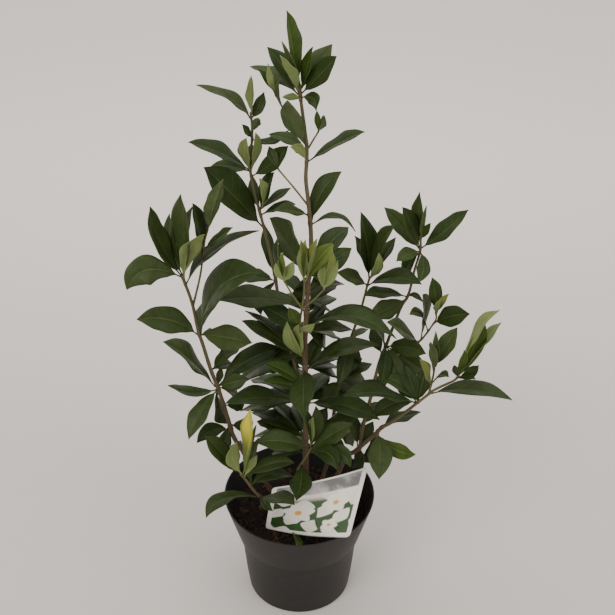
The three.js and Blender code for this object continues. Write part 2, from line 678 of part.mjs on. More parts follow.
// The card, in strips across its width; its end strips are shorter, which rounds its corners
function cardSolid() {
  const rings = [];
  for (let i = 0; i <= CARD.across; i += 1) {
    const across = 0.5 - 0.5 * Math.cos((Math.PI * i) / CARD.across);
    const beyond = Math.max(0, CARD.round - CARD.wide * Math.min(across, 1 - across));
    const short = (CARD.round - Math.sqrt(CARD.round ** 2 - beyond ** 2)) / CARD.high;
    const front = [];
    const back = [];
    for (let j = 0; j <= CARD.up; j += 1) {
      const up = short + ((1 - 2 * short) * j) / CARD.up;
      front.push(cardPoint(across, up).add(vec(0, -CARD.thick / 2, 0)));
      back.unshift(cardPoint(across, up).add(vec(0, CARD.thick / 2, 0)));
    }
    rings.unshift([...front, ...back]);
  }
  return toSolid(loft(rings));
}

// The stake stands in the soil under the card's lower edge, which slopes: its top is a gap short of
// the edge at the stake's left side, where the edge is lower
function stakeSolid() {
  const top = cardPoint(STAKE.across, 0);
  const low = SOIL_TOP - STAKE.deep;
  const high = cardPoint(STAKE.across - STAKE.wide / 2 / CARD.wide, 0).z - GAP;
  const bar = new THREE.BoxGeometry(STAKE.wide, STAKE.thick, high - low);
  bar.translate(top.x, top.y, (low + high) / 2);
  return { solid: toSolid(bar), foot: top };
}

// The part

const COLOURS = {
  pot: [0x41403e, 0.55], soil: [0x2a1d17, 0.95], label_card: [0xe9e6d8, 0.4], label_stake: [0x1d1d1e, 0.5],
  leaf: [0x35452a, 0.45],
};

function material(name) {
  const [color, roughness] = COLOURS[name];
  return new THREE.MeshStandardMaterial({ color, roughness, metalness: 0 });
}

const part = new THREE.Group();

function place(name, solid, finish) {
  const mesh = new THREE.Mesh(toGeometry(solid), material(finish));
  mesh.name = name;
  part.add(mesh);
}

// Stems and their leaves are fused shoot by shoot: a side stem joins what it grows from
const lines = new Map();
const shoots = new Map();
const feet = [];
const shootOf = new Map();
for (const stem of STEMS) {
  const line = stemLine(stem, lines);
  lines.set(stem.name, line);
  const home = stem.from === "soil" ? stem.name : shootOf.get(stem.from);
  shootOf.set(stem.name, home);
  if (stem.from === "soil") {
    feet.push({ x: stem.foot[0], y: stem.foot[1], radius: stem.girth[0] / 2 });
    shoots.set(home, []);
  }
  shoots.get(home).push(stemSolid(stem, line), ...stem.leaves.map((row) => leafSolid(row, stem, line)));
}

const stake = stakeSolid();
place("pot", potSolid(), "pot");
place("soil", soilSolid(feet, stake.foot), "soil");
place("label_card", cardSolid(), "label_card");
place("label_stake", stake.solid, "label_stake");
for (const [name, pieces] of shoots) {
  place(name, mainBody(pieces.reduce((a, b) => a.add(b))), "leaf");
}

export default part;
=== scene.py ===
"""A potted gardenia: leafy shoots in a nursery pot of bark soil, with a plant label at the front."""
import math

import bpy
import numpy as np
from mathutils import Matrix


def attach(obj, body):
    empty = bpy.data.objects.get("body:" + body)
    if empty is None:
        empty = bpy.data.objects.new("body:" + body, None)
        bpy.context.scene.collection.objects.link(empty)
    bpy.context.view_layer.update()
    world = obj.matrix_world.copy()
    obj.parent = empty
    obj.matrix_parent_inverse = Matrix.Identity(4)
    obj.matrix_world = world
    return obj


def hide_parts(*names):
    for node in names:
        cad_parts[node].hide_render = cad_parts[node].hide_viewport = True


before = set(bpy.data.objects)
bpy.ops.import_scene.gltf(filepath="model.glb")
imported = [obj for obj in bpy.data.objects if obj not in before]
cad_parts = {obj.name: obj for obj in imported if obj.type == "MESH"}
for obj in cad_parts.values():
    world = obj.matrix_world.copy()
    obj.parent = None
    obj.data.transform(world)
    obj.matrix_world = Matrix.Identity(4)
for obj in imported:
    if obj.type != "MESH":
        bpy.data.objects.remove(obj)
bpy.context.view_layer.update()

MM = 0.001

# Where the picture was taken from: the eye in mm, how far it looks down, and its lens in picture widths
EYE = np.array([0.0, -1200.0, 1265.0])
EYE_DOWN = math.radians(34.7)
LENS_WIDTHS = 1280 / 615
AXIS_LEFT = 8.2 / 615

# Pot and soil, in mm: how thick the wall and the floor are, the radius of the floor inside, how far
# from a corner its rounding starts, and the radius of the small flat at the middle of the floor
POT_WALL = 2.0
POT_FLOOR = 2.5
POT_INNER_FLOOR = 63
POT_ROUNDING = 0.9
POT_CENTRE = 0.5

# Outer radius and height of each bend of the wall, how high the soil stands, and its gap to the wall
POT_OUTSIDE = [[64, 0], [65.5, 2], [68.4, 24], [72.4, 66], [74.8, 87], [78, 90], [95, 150]]
SOIL_TOP = 122
SOIL_GAP = 0.5

# The card's corners as readings [x, z, depth], from the low left round by the low right, and its sizes
CARD = {
    "corners": [[-44, 86, -42], [65.5, 70.5, -86], [85.5, 192.5, -40], [-34, 157, -52]],
    "wide": 110, "high": 90, "thick": 0.9, "bow": -5, "round": 5,
}

# Leaves: real thickness, stalk width and how far a stalk is sunk, in mm, the full width as a share of
# the length, and how far a blade faces away from the eye before its underside shows
BLADE = 0.55
STALK = 1.5
SUNK = 0.7
FULL_WIDTH = {"mature": 0.38, "young": 0.3}
UNDERSIDE_FROM = -0.5

# By age, mature, young, growing or pale: how much the halves fold up and the blade arches, and its
# place on the way from dark to pale
FORMS = {
    "m": {"fold": 0.22, "arch": 0.07},
    "y": {"fold": 0.55, "arch": -0.03},
    "g": {"fold": 0.35, "arch": -0.02},
    "p": {"fold": -0.25, "arch": -0.1},
}
AGES = {"m": 0.0, "g": 0.35, "y": 0.9, "p": 1.0}
VEINS = 8
VEIN_LEAN = 0.15
LEAF_MARKS = ("age", "tone", "under", "yellow")

# The one young leaf whose upper half is bright yellow
YELLOW_LEAF = [-72, 178, -60, 284, -72, 13, "y", -59, 236]

# Small dark leaves deep among the others, that the part leaves out: the stem that they grow from, and
# their rows as those of the other leaves
INNER_LEAVES = [
    ("leader", [
        [10, 478, 2, 440, 30, 16, "m"], [10, 478, 36, 462, 34, 14, "m"], [9, 440, -20, 482, 40, 14, "m"],
        [9, 440, 32, 432, 50, 18, "m"], [7, 400, -34, 412, 46, 18, "m"], [7, 400, 46, 388, 56, 16, "m"],
        [7, 400, -30, 366, 60, 16, "m"], [7, 346, 46, 330, 60, 20, "m"], [7, 346, -46, 336, 66, 20, "m"],
        [7, 346, 58, 362, 58, 16, "m"], [8, 296, -50, 304, 70, 20, "m"], [8, 296, 60, 304, 56, 20, "m"],
        [8, 296, 26, 316, 60, 16, "m"], [8, 240, -58, 240, 48, 20, "m"], [8, 240, -40, 300, 70, 20, "m"],
        [8, 240, 64, 250, 50, 18, "m"], [8, 240, 24, 268, 62, 18, "m"], [8, 214, -56, 232, 56, 20, "m"],
        [8, 214, 44, 202, 60, 18, "m"], [8, 214, -20, 240, 70, 18, "m"],
    ]),
    ("left_shoot", [
        [-97, 316, -72, 300, 30, 15, "m"], [-104, 343, -76, 352, 28, 15, "m"],
        [-84, 258, -62, 244, 34, 15, "m"], [-116, 397, -90, 378, 24, 14, "m"],
    ]),
    ("middle_right_shoot", [
        [59, 388, 62, 350, 72, 15, "m"], [47, 330, 66, 336, 74, 16, "m"], [40, 256, 68, 288, 74, 18, "m"],
        [40, 256, 60, 236, 70, 18, "m"], [47, 330, 60, 300, 70, 18, "m"],
    ]),
    ("right_tall_stem", [
        [85, 300, 102, 340, 46, 16, "m"], [97, 368, 112, 330, 54, 18, "m"],
        [78, 260, 96, 296, 40, 18, "m"], [78, 260, 66, 226, 44, 15, "m"],
    ]),
    ("right_shoot", [
        [142, 296, 118, 326, 10, 17, "m"], [142, 296, 138, 336, 12, 16, "m"],
        [93, 245, 76, 200, 10, 16, "m"], [188, 334, 201, 366, -24, 8, "g"],
    ]),
    ("upper_left", [
        [-43, 562, -50, 606, 50, 13, "m"], [-52, 612, -50, 644, 48, 12, "m"],
        [-28, 480, -22, 520, 52, 11, "m"], [-27, 470, -44, 424, 54, 14, "m"],
    ]),
    ("low_left_shoot", [
        [-62, 160, -40, 196, -20, 16, "m"], [-73, 180, -92, 210, -40, 14, "m"],
        [-62, 160, -50, 240, -10, 14, "m"],
    ]),
    ("leader", [
        [5, 636, -32, 654, 28, 13, "m"], [9, 440, 42, 464, 46, 14, "m"], [7, 400, 30, 438, 44, 16, "m"],
        [8, 240, -58, 280, 60, 18, "m"],
    ]),
    ("middle_right_shoot", [[47, 330, 86, 354, 66, 16, "m"]]),
    ("left_shoot", [[-104, 343, -68, 380, 30, 14, "m"]]),
    ("right_tall_stem", [[97, 368, 82, 406, 40, 15, "m"]]),
]

# A leaf that has fallen on the soil and hangs over the rim: the reading and depth of its base, and
# its row as those of the other leaves
FALLEN_FROM = [-4, -43, 80]
FALLEN_LEAF = [-4, 80, -3, 56, -97, 12, "g", -4, 67]

# Stems, in mm: a foot stands straight at these heights over the soil's top, and each fourth sample of
# the line is kept where it joins the foot. A node's ring reaches this far and swells the stem by a share
FOOT_HEIGHTS = (-14, -6, 4)
KEEP_EVERY = 4
STEM_SIDES = 12
READING_STEP = 2.0
STEM_STEP = 2.5
RING_REACH = 2.6
RING_SWELL = 0.22

STEMS = []


def grow(name, origin, girth, course, leaves, foot=None):
    """Notes a stem: its name, what it grows from ("soil" or another stem), its girth low and high, its
    foot in the soil [x, y] and its course as readings [x, z, depth], all in mm. Each leaf: the
    reading of its base x, z, the reading of its tip x, z, depth, its width as seen, its age and,
    where its midrib leaves the plain arch, the reading x, z of its middle."""
    stem = {"name": name, "from": origin, "girth": girth, "foot": foot, "course": course, "leaves": leaves}
    STEMS.append(stem)


grow("leader", "soil", [8.4, 3.4], foot=[6, 4], course=[
    [8, 190, 3], [8, 295, 0], [7, 346, -2], [7, 400, -2], [11, 480, -1], [13, 522, 0], [12, 545, 0],
    [9, 580, 0], [7, 600, 0], [8, 635, 0], [5, 665, 1], [1, 698, 2], [0, 712, 2],
], leaves=[
    [0, 708, -12, 789, 0, 15, "g", -7, 752],
    [0, 706, -17, 757, -10, 6, "g"],
    [0, 704, -19, 742, -20, 8, "y"],
    [0, 708, 1, 750, 14, 6, "m"],
    [0, 700, -32, 751, 22, 18, "m", -16, 729],
    [0, 698, -50, 730, 34, 14, "m", -25, 720],
    [1, 706, 13, 751, -8, 9, "g"],
    [1, 704, 33, 754, 24, 20, "m", 18, 732],
    [1, 700, 37, 741, -18, 20, "m", 23, 723],
    [1, 696, 17, 681, -28, 14, "m", 14, 695],
    [2, 694, -18, 696, -16, 8, "p", -8, 697],
    [7, 643, -12, 693, -26, 20, "m", -7, 665],
    [7, 622, -10, 639, -18, 11, "p", 0, 637],
    [8, 623, 68, 657, -16, 14, "m", 40, 643],
    [12, 548, 45, 610, 20, 21, "m", 24, 585],
    [12, 546, 62, 535, 4, 7, "m", 41, 554],
    [11, 556, -28, 562, -26, 12, "m"],
    [11, 481, -32, 553, -30, 24, "m", -14, 521],
    [11, 480, 54, 541, 46, 22, "m", 34, 520],
    [11, 478, 58, 514, 20, 24, "m"],
    [10, 455, 51, 466, 44, 14, "m"], [10, 455, 34, 488, 30, 18, "m"],
    [7, 400, -46, 440, 20, 22, "m"],
    [9, 440, -97, 445, -8, 24, "m", -45, 446],
    [8, 425, 38, 449, 60, 22, "m"],
    [8, 407, 113, 390, -34, 17, "m", 57, 422],
    [7, 366, -62, 430, 40, 14, "m", -30, 403], [7, 366, -66, 416, 6, 16, "m", -32, 393],
    [7, 366, -14, 415, -26, 16, "p"], [7, 366, 6, 416, -34, 13, "p"],
    [7, 346, 5, 269, -86, 27, "m", 5, 316], [7, 346, 95, 380, 14, 22, "m", 50, 375],
    [7, 346, -18, 380, 40, 15, "m"], [7, 346, 42, 352, 60, 18, "m", 26, 352],
    [8, 322, -41, 354, -14, 15, "g", -18, 343], [8, 322, -43, 328, -26, 12, "g", -20, 324],
    [8, 296, -89, 294, -34, 23, "m", -42, 302], [8, 296, 98, 268, -40, 24, "m", 53, 290],
    [8, 296, -12, 352, 86, 23, "m"], [8, 296, 32, 340, 72, 24, "m"],
    [8, 240, -52, 266, 44, 22, "m"], [8, 240, 34, 288, 20, 20, "m"],
    [8, 214, -34, 214, 40, 20, "m"], [8, 214, 10, 256, 80, 20, "m"],
    [8, 425, -24, 450, 66, 18, "m"],
    [7, 400, 30, 374, 60, 20, "m"], [7, 400, 62, 402, 20, 17, "m", 36, 407],
    [7, 346, 27, 400, 26, 17, "m"],
    [7, 366, -74, 324, 44, 24, "m", -40, 352],
    [8, 296, -72, 282, 48, 22, "m", -34, 294], [8, 296, -58, 330, 84, 20, "m"],
    [8, 240, -8, 292, 60, 18, "m"], [8, 240, 74, 272, -12, 20, "m", 46, 266],
    [8, 214, 56, 226, 14, 20, "m", 34, 234],
])
grow("high_twig", "leader", [2.6, 1.8], course=[
    [6, 643, 1], [-8, 667, -4], [-18, 686, -8], [-24, 699, -8],
], leaves=[
    [-24, 699, -42, 728, 0, 9, "m"], [-24, 699, -32, 733, -14, 7, "y"],
    [-22, 694, -25, 720, 4, 8, "m"],
    [-20, 690, -20, 717, -18, 6, "m"],
])
grow("cross_twig", "leader", [2.4, 1.8], course=[
    [11, 566, 0], [-5, 589, 8], [-22, 612, 14],
], leaves=[
    [-22, 612, -32, 640, 30, 12, "m"],
])
grow("right_twig", "leader", [2.4, 1.8], course=[
    [8, 635, 0], [14, 646, -5], [20, 657, -8],
], leaves=[
    [20, 657, 18, 681, -4, 7, "g"], [20, 657, 26, 676, -16, 7, "m"],
])
grow("upper_left", "leader", [5.0, 2.4], course=[
    [8, 302, 0], [-5, 350, 8], [-15, 400, 16], [-24, 450, 22], [-27, 475, 24], [-33, 510, 27],
    [-39, 542, 30], [-46, 575, 32], [-52, 612, 32], [-49, 655, 31], [-50, 678, 31],
], leaves=[
    [-50, 672, -105, 710, 36, 11, "m", -69, 693],
    [-49, 678, -49, 720, 28, 10, "y"],
    [-50, 672, -36, 702, 40, 13, "m", -42, 685],
    [-49, 658, -42, 673, 14, 10, "g"],
    [-50, 650, -59, 665, 16, 8, "g"],
    [-52, 612, -55, 650, 8, 12, "p", -57, 631], [-52, 612, -46, 656, 16, 11, "p", -46, 634],
    [-49, 648, -11, 659, 24, 11, "m", -28, 646],
    [-51, 604, -12, 640, 18, 21, "m", -27, 622],
    [-52, 612, -116, 645, 12, 17, "m", -83, 632],
    [-52, 610, -94, 616, 62, 16, "m"],
    [-39, 542, -101, 615, 8, 32, "m", -73, 583],
    [-43, 562, -27, 609, 18, 15, "m", -36, 588], [-43, 562, -43, 602, 6, 8, "p"],
    [-43, 562, -9, 590, 44, 11, "m", -24, 579],
    [-42, 558, -4, 570, 22, 10, "m", -22, 566],
    [-28, 480, -38, 545, 56, 16, "m", -35, 512],
    [-27, 470, -66, 476, 58, 18, "m"],
])
grow("front_shoot", "leader", [3.4, 2.2], course=[
    [7, 352, -2], [3, 385, -24], [1, 415, -38], [3, 432, -44], [5, 450, -48], [6, 470, -50],
], leaves=[
    [6, 470, 7, 525, -42, 13, "p"], [6, 470, 38, 519, -46, 18, "y", 24, 503],
    [6, 470, 2, 524, -58, 7, "y"], [6, 470, 19, 526, -62, 7, "y"],
    [1, 410, -12, 434, -56, 14, "g"],
    [1, 405, 18, 412, -60, 10, "p"],
])
grow("front_left_twig", "front_shoot", [2.4, 1.8], course=[
    [3, 432, -44], [-8, 452, -50], [-17, 470, -52],
], leaves=[
    [-17, 470, -27, 494, -46, 12, "p"], [-17, 470, -6, 497, -50, 12, "p"],
    [-17, 470, -19, 508, -58, 7, "y"], [-17, 470, -24, 528, -40, 9, "m"],
])
grow("front_right_twig", "front_shoot", [2.4, 1.8], course=[
    [3, 432, -44], [15, 443, -50], [28, 459, -54],
], leaves=[
    [28, 459, 28, 498, -46, 14, "p"], [28, 459, 43, 498, -50, 13, "p"], [28, 459, 37, 511, -60, 8, "y"],
])
grow("left_shoot", "soil", [7.0, 3.4], foot=[-30, 12], course=[
    [-60, 200, 6], [-80, 240, 0], [-87, 272, -4], [-97, 318, -9], [-104, 343, -12], [-113, 385, -17],
    [-116, 397, -18], [-122, 440, -23], [-131, 476, -28],
], leaves=[
    [-131, 476, -195, 458, -52, 33, "m", -171, 485], [-131, 476, -161, 567, -14, 20, "m", -155, 523],
    [-131, 476, -141, 558, 6, 18, "m", -141, 518], [-131, 476, -128, 582, -30, 15, "m", -126, 532],
    [-131, 476, -115, 568, -8, 14, "m"],
    [-130, 474, -104, 532, -50, 17, "p", -122, 513],
    [-128, 466, -44, 537, 10, 13, "m", -96, 509],
    [-116, 397, -187, 417, -34, 31, "m", -150, 417], [-116, 397, -43, 483, -64, 31, "m", -92, 459],
    [-116, 397, -55, 384, -58, 30, "m", -84, 392],
    [-97, 320, -92, 349, 4, 9, "m"], [-97, 320, -60, 332, -14, 20, "m"],
    [-116, 397, -94, 452, 52, 18, "m"],
    [-98, 320, -158, 386, -34, 14, "m", -129, 360],
    [-97, 316, -156, 322, -36, 15, "m", -130, 310], [-97, 316, -136, 237, -56, 20, "m"],
    [-97, 316, -86, 262, 22, 16, "m"],
    [-97, 320, -18, 377, 22, 27, "m", -58, 360],
    [-83, 255, -126, 231, -40, 19, "m", -107, 252],
    [-84, 258, -56, 262, 30, 18, "m"], [-84, 258, -94, 222, 0, 17, "m"],
    [-90, 290, -66, 292, 14, 16, "m"],
    [-70, 215, -86, 226, 50, 16, "m"],
])
grow("left_fork", "left_shoot", [2.8, 1.8], course=[
    [-121, 436, -22], [-111, 478, -18], [-108, 496, -15], [-104, 523, -11], [-100, 538, -9],
], leaves=[
    [-107, 502, -115, 571, 0, 11, "m", -110, 543],
    [-100, 538, -81, 601, -8, 17, "g", -93, 567],
    [-104, 512, -73, 541, -18, 11, "m", -89, 527],
    [-101, 536, -98, 566, 6, 8, "m"],
])
grow("low_left_shoot", "soil", [5.0, 3.0], foot=[-34, -30], course=[
    [-45, 138, -46], [-53, 146, -53], [-59, 155, -58], [-68, 172, -66], [-73, 180, -69],
], leaves=[
    [-73, 180, -115, 242, -66, 22, "m", -98, 217], [-73, 180, -77, 233, -86, 17, "p", -84, 210],
    [-72, 178, -60, 284, -72, 13, "y", -59, 236],
    [-70, 175, -52, 212, -60, 10, "p", -60, 196], [-70, 175, -53, 260, -50, 8, "g"],
    [-51, 144, -120, 105, -92, 19, "m", -95, 139],
    [-50, 143, -6, 128, -104, 20, "m", -27, 139],
    [-51, 144, -34, 117, -80, 11, "m"],
    [-70, 175, -6, 199, -62, 19, "m", -36, 197],
    [-62, 160, -8, 176, -26, 20, "m", -36, 180],
])
grow("low_front_shoot", "soil", [4.2, 2.4], foot=[4, -26], course=[
    [-2, 188, -42], [8, 208, -46], [14, 221, -48], [15, 227, -48],
], leaves=[
    [15, 227, 17, 273, -52, 11, "p", 15, 252],
    [15, 225, 20, 290, -38, 16, "m"], [15, 225, 0, 290, -44, 10, "m"],
    [14, 221, -55, 232, -66, 26, "m", -20, 234], [14, 221, 65, 262, -52, 24, "m", 40, 245],
    [2, 197, -4, 135, -98, 26, "m", 2, 166],
    [14, 221, 64, 191, -78, 21, "m", 48, 217],
    [13, 218, 47, 187, -90, 22, "m", 36, 214],
])
grow("middle_right_shoot", "soil", [6.0, 2.6], foot=[26, 30], course=[
    [35, 200, 34], [47, 330, 40], [52, 360, 41], [60, 392, 42], [70, 430, 44], [77, 466, 46],
    [79, 475, 46],
], leaves=[
    [79, 475, 67, 560, 52, 22, "m", 75, 515], [79, 475, 61, 530, 70, 12, "m"],
    [79, 475, 104, 543, 38, 14, "m", 89, 516], [79, 475, 106, 528, 66, 15, "m", 95, 506],
    [79, 475, 88, 508, 26, 11, "p"],
    [77, 466, 42, 482, 26, 16, "m", 60, 475], [77, 466, 138, 466, 10, 17, "m", 105, 475],
    [59, 388, 46, 322, 0, 20, "m"], [59, 388, 80, 404, 74, 8, "m"],
    [47, 330, 74, 362, 68, 14, "m"], [47, 330, 78, 330, 70, 20, "m"], [47, 330, 28, 296, 14, 20, "m"],
    [40, 256, 66, 250, 72, 20, "m"],
])
grow("right_shoot", "soil", [7.6, 2.6], foot=[36, 2], course=[
    [60, 212, -4], [68, 217, -6], [82, 233, -10], [93, 245, -13], [100, 256, -16], [108, 261, -18],
    [121, 273, -22], [133, 285, -26], [142, 295, -29], [152, 305, -32], [157, 311, -34], [171, 321, -37],
    [184, 329, -39], [190, 337, -40],
], leaves=[
    [157, 311, 256, 299, -66, 20, "m", 204, 315],
    [100, 256, 147, 281, 22, 13, "m", 122, 271],
    [141, 295, 53, 306, -76, 20, "m", 97, 309],
    [142, 296, 124, 352, -6, 20, "m"], [142, 296, 150, 350, -8, 19, "m"],
    [96, 249, 100, 171, -66, 30, "m", 100, 214],
    [93, 245, 144, 213, -34, 19, "g", 122, 219],
    [188, 334, 211, 351, -48, 13, "m", 203, 341], [188, 334, 182, 352, -30, 8, "m"],
    [188, 333, 209, 331, -62, 8, "m"],
    [190, 337, 213, 416, -30, 17, "g", 203, 376], [190, 337, 193, 373, -52, 9, "g"],
    [190, 337, 233, 413, -22, 8, "p", 215, 384], [190, 337, 229, 430, -44, 6, "p", 206, 396],
    [74, 223, 66, 190, 20, 18, "m"], [74, 223, 90, 266, 12, 16, "m"], [74, 223, 58, 286, 26, 16, "m"],
    [141, 295, 90, 272, -20, 22, "m", 112, 293], [141, 295, 92, 334, -4, 18, "m", 118, 325],
])
grow("right_up_twig", "right_shoot", [3.0, 2.0], course=[
    [155, 310, -33], [159, 341, -38], [159, 350, -38],
], leaves=[
    [159, 345, 153, 386, -54, 8, "g"],
    [159, 350, 158, 401, -40, 9, "g"],
    [159, 348, 182, 406, -22, 19, "m", 171, 380],
    [157, 325, 142, 360, -54, 10, "y"],
    [157, 326, 177, 334, -56, 7, "m", 168, 337],
])
grow("right_tall_stem", "right_shoot", [5.0, 2.6], course=[
    [74, 224, -8], [78, 260, 2], [85, 300, 12], [92, 345, 22], [97, 368, 26], [101, 380, 28],
    [107, 403, 31], [117, 437, 36], [123, 450, 38], [129, 486, 42], [134, 513, 44], [133, 528, 44],
], leaves=[
    [134, 513, 92, 566, 60, 20, "m", 113, 540],
    [134, 515, 112, 566, 34, 16, "m", 122, 542],
    [133, 526, 129, 585, 52, 16, "m", 130, 550], [133, 526, 137, 568, 34, 4, "g"],
    [134, 514, 183, 563, 46, 20, "m", 160, 537],
    [133, 526, 143, 546, 32, 9, "g"],
    [133, 510, 108, 497, 12, 15, "m", 120, 506], [133, 510, 133, 468, 6, 16, "m", 139, 488],
    [123, 450, 74, 450, 14, 16, "m", 95, 454],
    [121, 446, 79, 421, -4, 24, "m", 100, 432],
    [100, 378, 84, 407, 4, 6, "m"],
    [101, 380, 148, 368, -14, 24, "m", 126, 378], [101, 380, 96, 322, -18, 17, "m"],
    [101, 380, 124, 328, -8, 18, "m"],
    [97, 368, 136, 352, 56, 20, "m"],
    [101, 380, 152, 338, 16, 24, "m"],
    [123, 450, 141, 441, 38, 7, "m", 131, 451],
    [133, 508, 118, 474, 52, 14, "m", 121, 491],
])
grow("right_middle_twig", "right_tall_stem", [3.2, 2.0], course=[
    [93, 350, 23], [115, 366, 14], [140, 387, 6], [153, 409, 2], [157, 418, 1], [156, 428, 0],
], leaves=[
    [156, 428, 149, 475, 6, 16, "m", 154, 453], [156, 428, 169, 453, -8, 8, "y"],
    [156, 426, 160, 446, -16, 6, "y"],
    [155, 413, 195, 425, -26, 25, "m", 174, 422],
    [142, 390, 140, 452, -8, 11, "m", 143, 430],
    [149, 402, 126, 424, -10, 7, "m", 138, 425],
    [138, 386, 101, 414, -18, 15, "m", 119, 402],
])


# Readings, directions and curves


def seen(x, z, y):
    """The point in mm at depth y behind the reading (x, z), along its line of sight from the eye."""
    flat = np.stack([np.asarray(x, float), np.zeros(np.shape(x)), np.asarray(z, float)], -1)
    share = (np.asarray(y, float) - EYE[1]) / -EYE[1]
    return EYE + share[..., None] * (flat - EYE)


def unit(v):
    """A direction, or an array of them, at length 1."""
    return v / np.linalg.norm(v, axis=-1, keepdims=True)


def square_to(direction, axis):
    """The part of a direction that stands square to an axis, at unit length."""
    along = np.sum(direction * axis, -1, keepdims=True)
    return unit(direction - along * axis)


def smooth_line(points, spacing):
    """A centripetal Catmull-Rom line through the points, sampled at even steps of about the spacing."""
    points = np.array(points, float)
    ends = np.vstack([2 * points[0] - points[1], points, 2 * points[-1] - points[-2]])
    fine = []
    for a, b, c, d in zip(ends, ends[1:], ends[2:], ends[3:]):
        ab, bc, cd = (math.sqrt(np.linalg.norm(q - p)) for p, q in ((a, b), (b, c), (c, d)))
        start = ((b - a) / ab - (c - a) / (ab + bc) + (c - b) / bc) * bc
        stop = ((c - b) / bc - (d - b) / (bc + cd) + (d - c) / cd) * bc
        t = np.linspace(0, 1, 40, endpoint=False)[:, None]
        bend, twist = 3 * (c - b) - 2 * start - stop, 2 * (b - c) + start + stop
        fine.append(b + start * t + bend * t**2 + twist * t**3)
    fine = np.vstack([*fine, points[-1:]])
    run = np.concatenate([[0], np.cumsum(np.linalg.norm(np.diff(fine, axis=0), axis=1))])
    even = np.linspace(0, run[-1], max(9, round(run[-1] / spacing) + 1))
    return np.stack([np.interp(even, run, fine[:, k]) for k in range(3)], 1)


# Meshes


def new_piece(name, points, faces, material, uv=None, marks=None):
    """A smooth mesh piece from points in mm. uv is one pair a point, marks are named numbers a point."""
    mesh = bpy.data.meshes.new(name)
    mesh.from_pydata((np.asarray(points) * MM).tolist(), [], faces)
    mesh.materials.append(material)
    if uv is not None:
        corners = np.empty(len(mesh.loops), np.int32)
        mesh.loops.foreach_get("vertex_index", corners)
        mesh.uv_layers.new(name="UVMap").data.foreach_set("uv", np.asarray(uv, np.float32)[corners].ravel())
    for key, values in (marks or {}).items():
        mesh.attributes.new(key, "FLOAT", "POINT").data.foreach_set("value", np.asarray(values, np.float32))
    mesh.shade_smooth()
    piece = bpy.data.objects.new(name, mesh)
    bpy.context.collection.objects.link(piece)
    return piece


def settle(piece, slot, *nodes):
    """The piece rides with the part and stands for its nodes; its slot is not used."""
    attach(piece, "root")
    if nodes:
        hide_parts(*nodes)


def grid_faces(rows, columns, ring=False):
    """Quads of a grid of points, row by row; with ring, the last column joins the first."""
    row, column = np.mgrid[:rows - 1, :columns if ring else columns - 1]
    after = (column + 1) % columns
    quads = np.stack([
        row * columns + column, row * columns + after,
        (row + 1) * columns + after, (row + 1) * columns + column,
    ], -1)
    return quads.reshape(-1, 4).tolist()


def circle(sides):
    """The cosines and the sines of even steps round a circle."""
    angle = 2 * np.pi * np.arange(sides) / sides
    return np.cos(angle), np.sin(angle)


def closed_rings(rows, sides):
    """Faces of a stack of rings, closed below and above."""
    last = (rows - 1) * sides
    ends = [list(range(sides))[::-1], [last + k for k in range(sides)]]
    return grid_faces(rows, sides, ring=True) + ends


def sewn_sheets(rows, columns, first_looks_back):
    """Faces of two like grids of points, one after the other, sewn along their edge."""
    count = rows * columns
    first = grid_faces(rows, columns)
    second = [[k + count for k in f] for f in first]
    edge = np.arange(count).reshape(rows, columns)
    rim = np.concatenate([edge[0], edge[1:, -1], edge[-1, -2::-1], edge[-2:0:-1, 0]])
    after = np.roll(rim, -1)
    if first_looks_back:
        seam = np.stack([rim, after, after + count, rim + count], 1).tolist()
        return [f[::-1] for f in first] + second + seam
    seam = np.stack([after, rim, rim + count, after + count], 1).tolist()
    return first + [f[::-1] for f in second] + seam


def round_corners(profile, reach):
    """A profile with each inner corner replaced by a short curve (a parabola) that starts and ends
    this far from it, or at less than half of the edge beside it."""
    line = np.array(profile, float)
    t = np.linspace(0, 1, 5)[:, None]
    rounded = [line[:1]]
    for before, corner, after in zip(line, line[1:], line[2:]):
        start, stop = (
            corner + min(reach, 0.45 * np.linalg.norm(end - corner)) * unit(end - corner)
            for end in (before, after))
        rounded.append((1 - t) ** 2 * start + 2 * t * (1 - t) * corner + t**2 * stop)
    return np.vstack([*rounded, line[-1:]])


# Shader maths


class Wire:
    """A shader socket that takes part in sums: an expression on wires adds its Math nodes."""

    def __init__(self, shader, socket):
        self.shader = shader
        self.socket = socket

    def maths(self, operation, *others):
        return self.shader.node("ShaderNodeMath", {"operation": operation}, dict(enumerate((self, *others))))

    def __add__(self, other):
        return self.maths("ADD", other)

    def __sub__(self, other):
        return self.maths("SUBTRACT", other)

    def __rsub__(self, other):
        return self.shader.node("ShaderNodeMath", {"operation": "SUBTRACT"}, {0: other, 1: self})

    def __mul__(self, other):
        return self.maths("MULTIPLY", other)

    def __pow__(self, other):
        return self.maths("POWER", other)

    __radd__ = __add__
    __rmul__ = __mul__

    def size(self):
        return self.maths("ABSOLUTE")

    def sine(self):
        return self.maths("SINE")

    def part(self):
        return self.maths("FRACT")

    def between(self, low, high, start=0.0, stop=1.0):
        """Smoothly from start, where the wire is low, to stop, where it is high."""
        values = {"Value": self, "From Min": low, "From Max": high, "To Min": start, "To Max": stop}
        return self.shader.node("ShaderNodeMapRange", {"interpolation_type": "SMOOTHSTEP"}, values)


